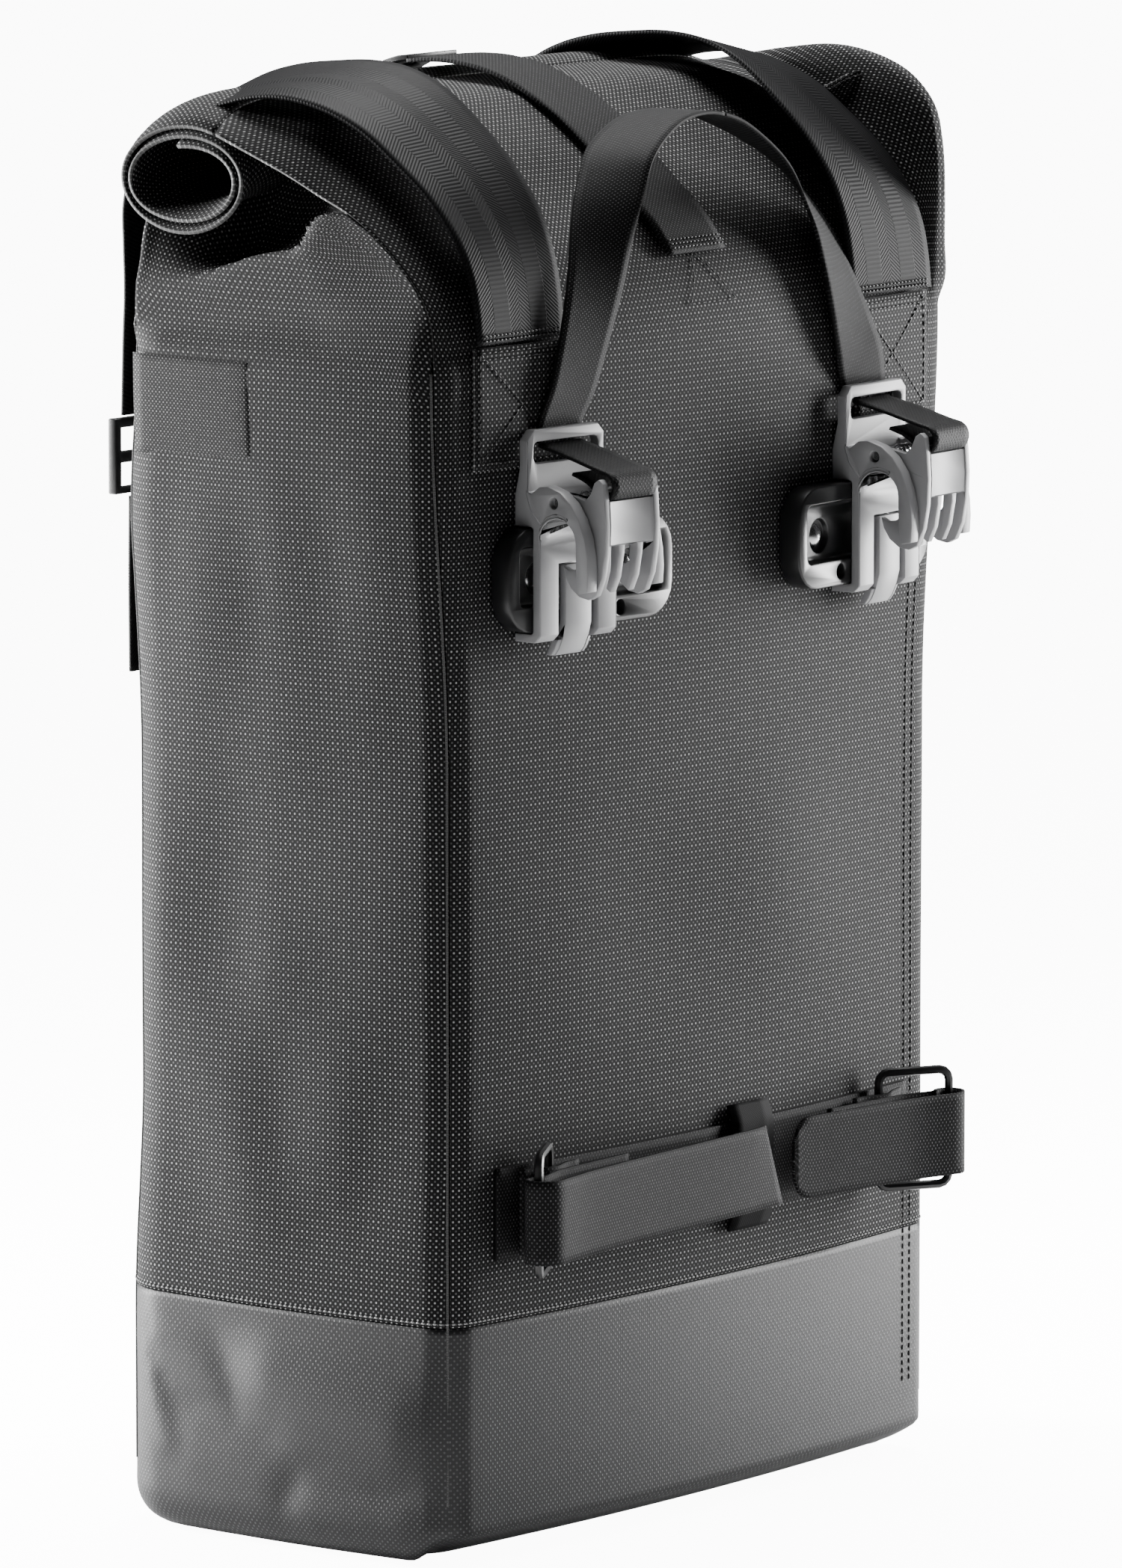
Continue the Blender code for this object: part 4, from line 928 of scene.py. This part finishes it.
# The same ribbed nylon dyed solid black: only the gloss of its ribs shows.
BLACK_WEBBING, shader = woven("black_nylon_webbing", "#060607", "#1e1e1f", 1.9, 1.6, 0.9, 0.6, 0.9, 0.35)
shader.inputs["Specular IOR Level"].default_value = 0.15

for side in ("left", "right"):
    columns = [[hook_point(side, PULL_HALF_WIDTH * (k / 4 - 1), *at) for at in PULL_LOOP] for k in range(9)]
    loop, *_ = cloth(side + "_pull_loop_webbing", columns, 56, BLACK_WEBBING, 1.2)
    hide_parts(side + "_pull_loop")
    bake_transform(loop)


# ------------------------------------------------------------------ lower straps
# A band of webbing sewn low on the rack face carries a black rectangular ring at each side. A
# hook-and-loop strap runs through each ring and back to the middle, where a smooth keeper covers
# the seam.

# Chevron webbing: dark nylon with light slanting threads.
CHEVRON_WEBBING, shader = woven("chevron_nylon_webbing", "#0a0a0b", "#555556", 1.7, 2.4, 0.9, 0.7, 0.9, 0.25)
shader.inputs["Specular IOR Level"].default_value = 0.12

# Keeper tape: a finer and smoother weave, black all through.
KEEPER_TAPE, shader = woven("smooth_keeper_tape", "#060607", "#131314", 1.2, 1.2, 0.8, 0.7, 0.9, 0.1)
shader.inputs["Specular IOR Level"].default_value = 0.06

# Heights of the band's lower and upper edge; the routes are (x, y) points of the right strap.
LOW, HIGH = 113.0, 147.0
CINCH_BACK = [(62, -95.6), (101, -97.4), (112, -99.6), (120, -101.9)]
CINCH_FOLD = [(124.8, -100.2), (128.5, -100.6), (130.6, -104.2), (128.6, -108.4), (124.6, -110.6)]
CINCH_FRONT = {"left": [(122, -110.6), (100, -107.0), (60, -103.6), (0, -100.0), (-23, -97.6)],
               "right": [(122, -110.6), (100, -105.0), (60, -100.0), (36, -97.6)]}
RING_TAB = [(85, -90.3), (92, -90.6), (98, -92.6), (101.5, -93.1), (105, -92.6), (110, -90.2), (117, -88.4)]
STEP, SLANT_LENGTH = 2.5, 12.0


def upright_strap(name, path, low, high, finish, wall, rows=10, slant=0.0, tip=0.0):
    """A strap of constant height along an (x, y) path, with a slanted or rounded tip.

    A positive slant or tip is at the path's end, a negative one at its start.
    """
    length = sum(math.dist(a, b) for a, b in zip(path, path[1:]))
    even = resample([(x, y, 0.0) for x, y in path], max(int(length / STEP), 6))
    columns = []
    for k, (x, y, _) in enumerate(even):
        from_tip = (len(even) - 1 - k if slant + tip > 0 else k) * STEP
        lean = slant * max(1 - from_tip / SLANT_LENGTH, 0.0)
        inset = abs(tip) - math.sqrt(tip * tip - max(abs(tip) - from_tip, 0.0) ** 2)
        columns.append([(x - lean * (0.5 - up), y, mix(low + inset, high - inset, up))
                        for up in (0, 0.25, 0.5, 0.75, 1)])
    return cloth(name, columns, rows, finish, wall)[0]


band_path = [(x, bulged(x, RACK_Y, 130)[1] - 0.5 - WEBBING) for x in range(-126, 127, 14)]
band = upright_strap("lower_webbing_band", band_path, LOW, HIGH, CHEVRON_WEBBING, WEBBING)
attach(band, "bag")
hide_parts("lower_webbing")

keeper_profile = [(106, -90.4), (110, -92.0), (115, -93.2), (130, -93.4), (145, -93.2), (150, -92.0),
                  (154, -90.4)]
columns = [[(x, y, z) for z, y in keeper_profile] for x in (6, 12, 18, 24, 30)]
keeper, *_ = cloth("keeper_tape", columns, 30, KEEPER_TAPE, 1.2)
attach(keeper, "bag")
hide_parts("cinch_keeper")

for side, sign in (("left", -1), ("right", 1)):
    tab_path = sorted((sign * x, y) for x, y in RING_TAB)
    tab = upright_strap(side + "_ring_tab_webbing", tab_path, LOW + 1, HIGH - 1, CHEVRON_WEBBING, 1.0)
    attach(tab, "bag")
    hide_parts(side + "_ring_tab")

    refine(side + "_ring", side + "_ring_loop", BLACK_NYLON, 0.0)

    path = [(sign * x, y) for x, y in CINCH_BACK + CINCH_FOLD + CINCH_FRONT[side]][::sign]
    ending = {"slant": -11.0} if sign < 0 else {"tip": 9.0}
    strap = upright_strap(side + "_cinch_strap_webbing", path, LOW + 1.5, HIGH - 1.5, CHEVRON_WEBBING, 1.3,
                          **ending)
    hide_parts(side + "_cinch_strap")
    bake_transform(strap)

bm = bmesh.new()
for x, y in ((-1.5, -100.4), (1.0, -100.3), (47.0, -99.5), (49.5, -99.7)):
    sew(bm, [(x, y, mix(LOW + 3, HIGH - 3, k / 8)) for k in range(9)], 2.4, 1.8, 0.45)
stitches = place_mesh(bm, "cinch_strap_stitching", [THREAD])
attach(stitches, "bag")


# ------------------------------------------------------------------ side patch and inner pieces
# A plain tonal patch on the left side panel. Inside, a plastic sheet and a board stiffen the
# rack face and the floor. The buckles and the closing hook are black powder-coated metal.

# A finer weave of the same light thread, so the patch only just stands out from its panel.
PATCH_CLOTH, shader = woven("fine_woven_polyester", "#111112", "#909090", 1.8, 1.8, 0.5, 0.75, 1.0, 0.12)
shader.inputs["Specular IOR Level"].default_value = 0.12

# It stands a little proud of the panel, and its edges are tucked just below the surface.
PATCH_PROUD, PATCH_TUCK = 0.25, -0.3
PATCH_ROWS = [(402.5, PATCH_TUCK), (405.0, PATCH_PROUD), (422.5, PATCH_PROUD), (437.0, PATCH_PROUD),
              (439.5, PATCH_PROUD)]
columns = []
for k in range(13):
    y = mix(60.0, 0.0, k / 12)
    columns.append([(bulged(-half_width(z), y, z)[0] - (proud if 0 < k < 12 else PATCH_TUCK), y, z)
                    for z, proud in PATCH_ROWS])
patch, *_ = cloth("tonal_side_patch", columns, 12, PATCH_CLOTH, 0.3)
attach(patch, "bag")
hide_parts("side_patch")

# Powder coat: a dull black film with a slight orange peel.
POWDER_COAT = moulded("black_powder_coat", "#111112", "#1b1b1c", 0.38, 0.8)
# Stiffener: extruded polypropylene sheet, dull and dark grey.
SHEET_PLASTIC = moulded("polypropylene_sheet", "#2b2b2c", "#343435", 0.55, 1.2)

refine("closure_hook", "closure", POWDER_COAT, 0.3)
for side in ("left", "right"):
    refine(side + "_strap_buckle", "bag", POWDER_COAT, 0.5)
for node in ("back_stiffener", "base_stiffener"):
    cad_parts[node].material_slots[0].material = SHEET_PLASTIC


# ------------------------------------------------------------------ sizes
low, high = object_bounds()
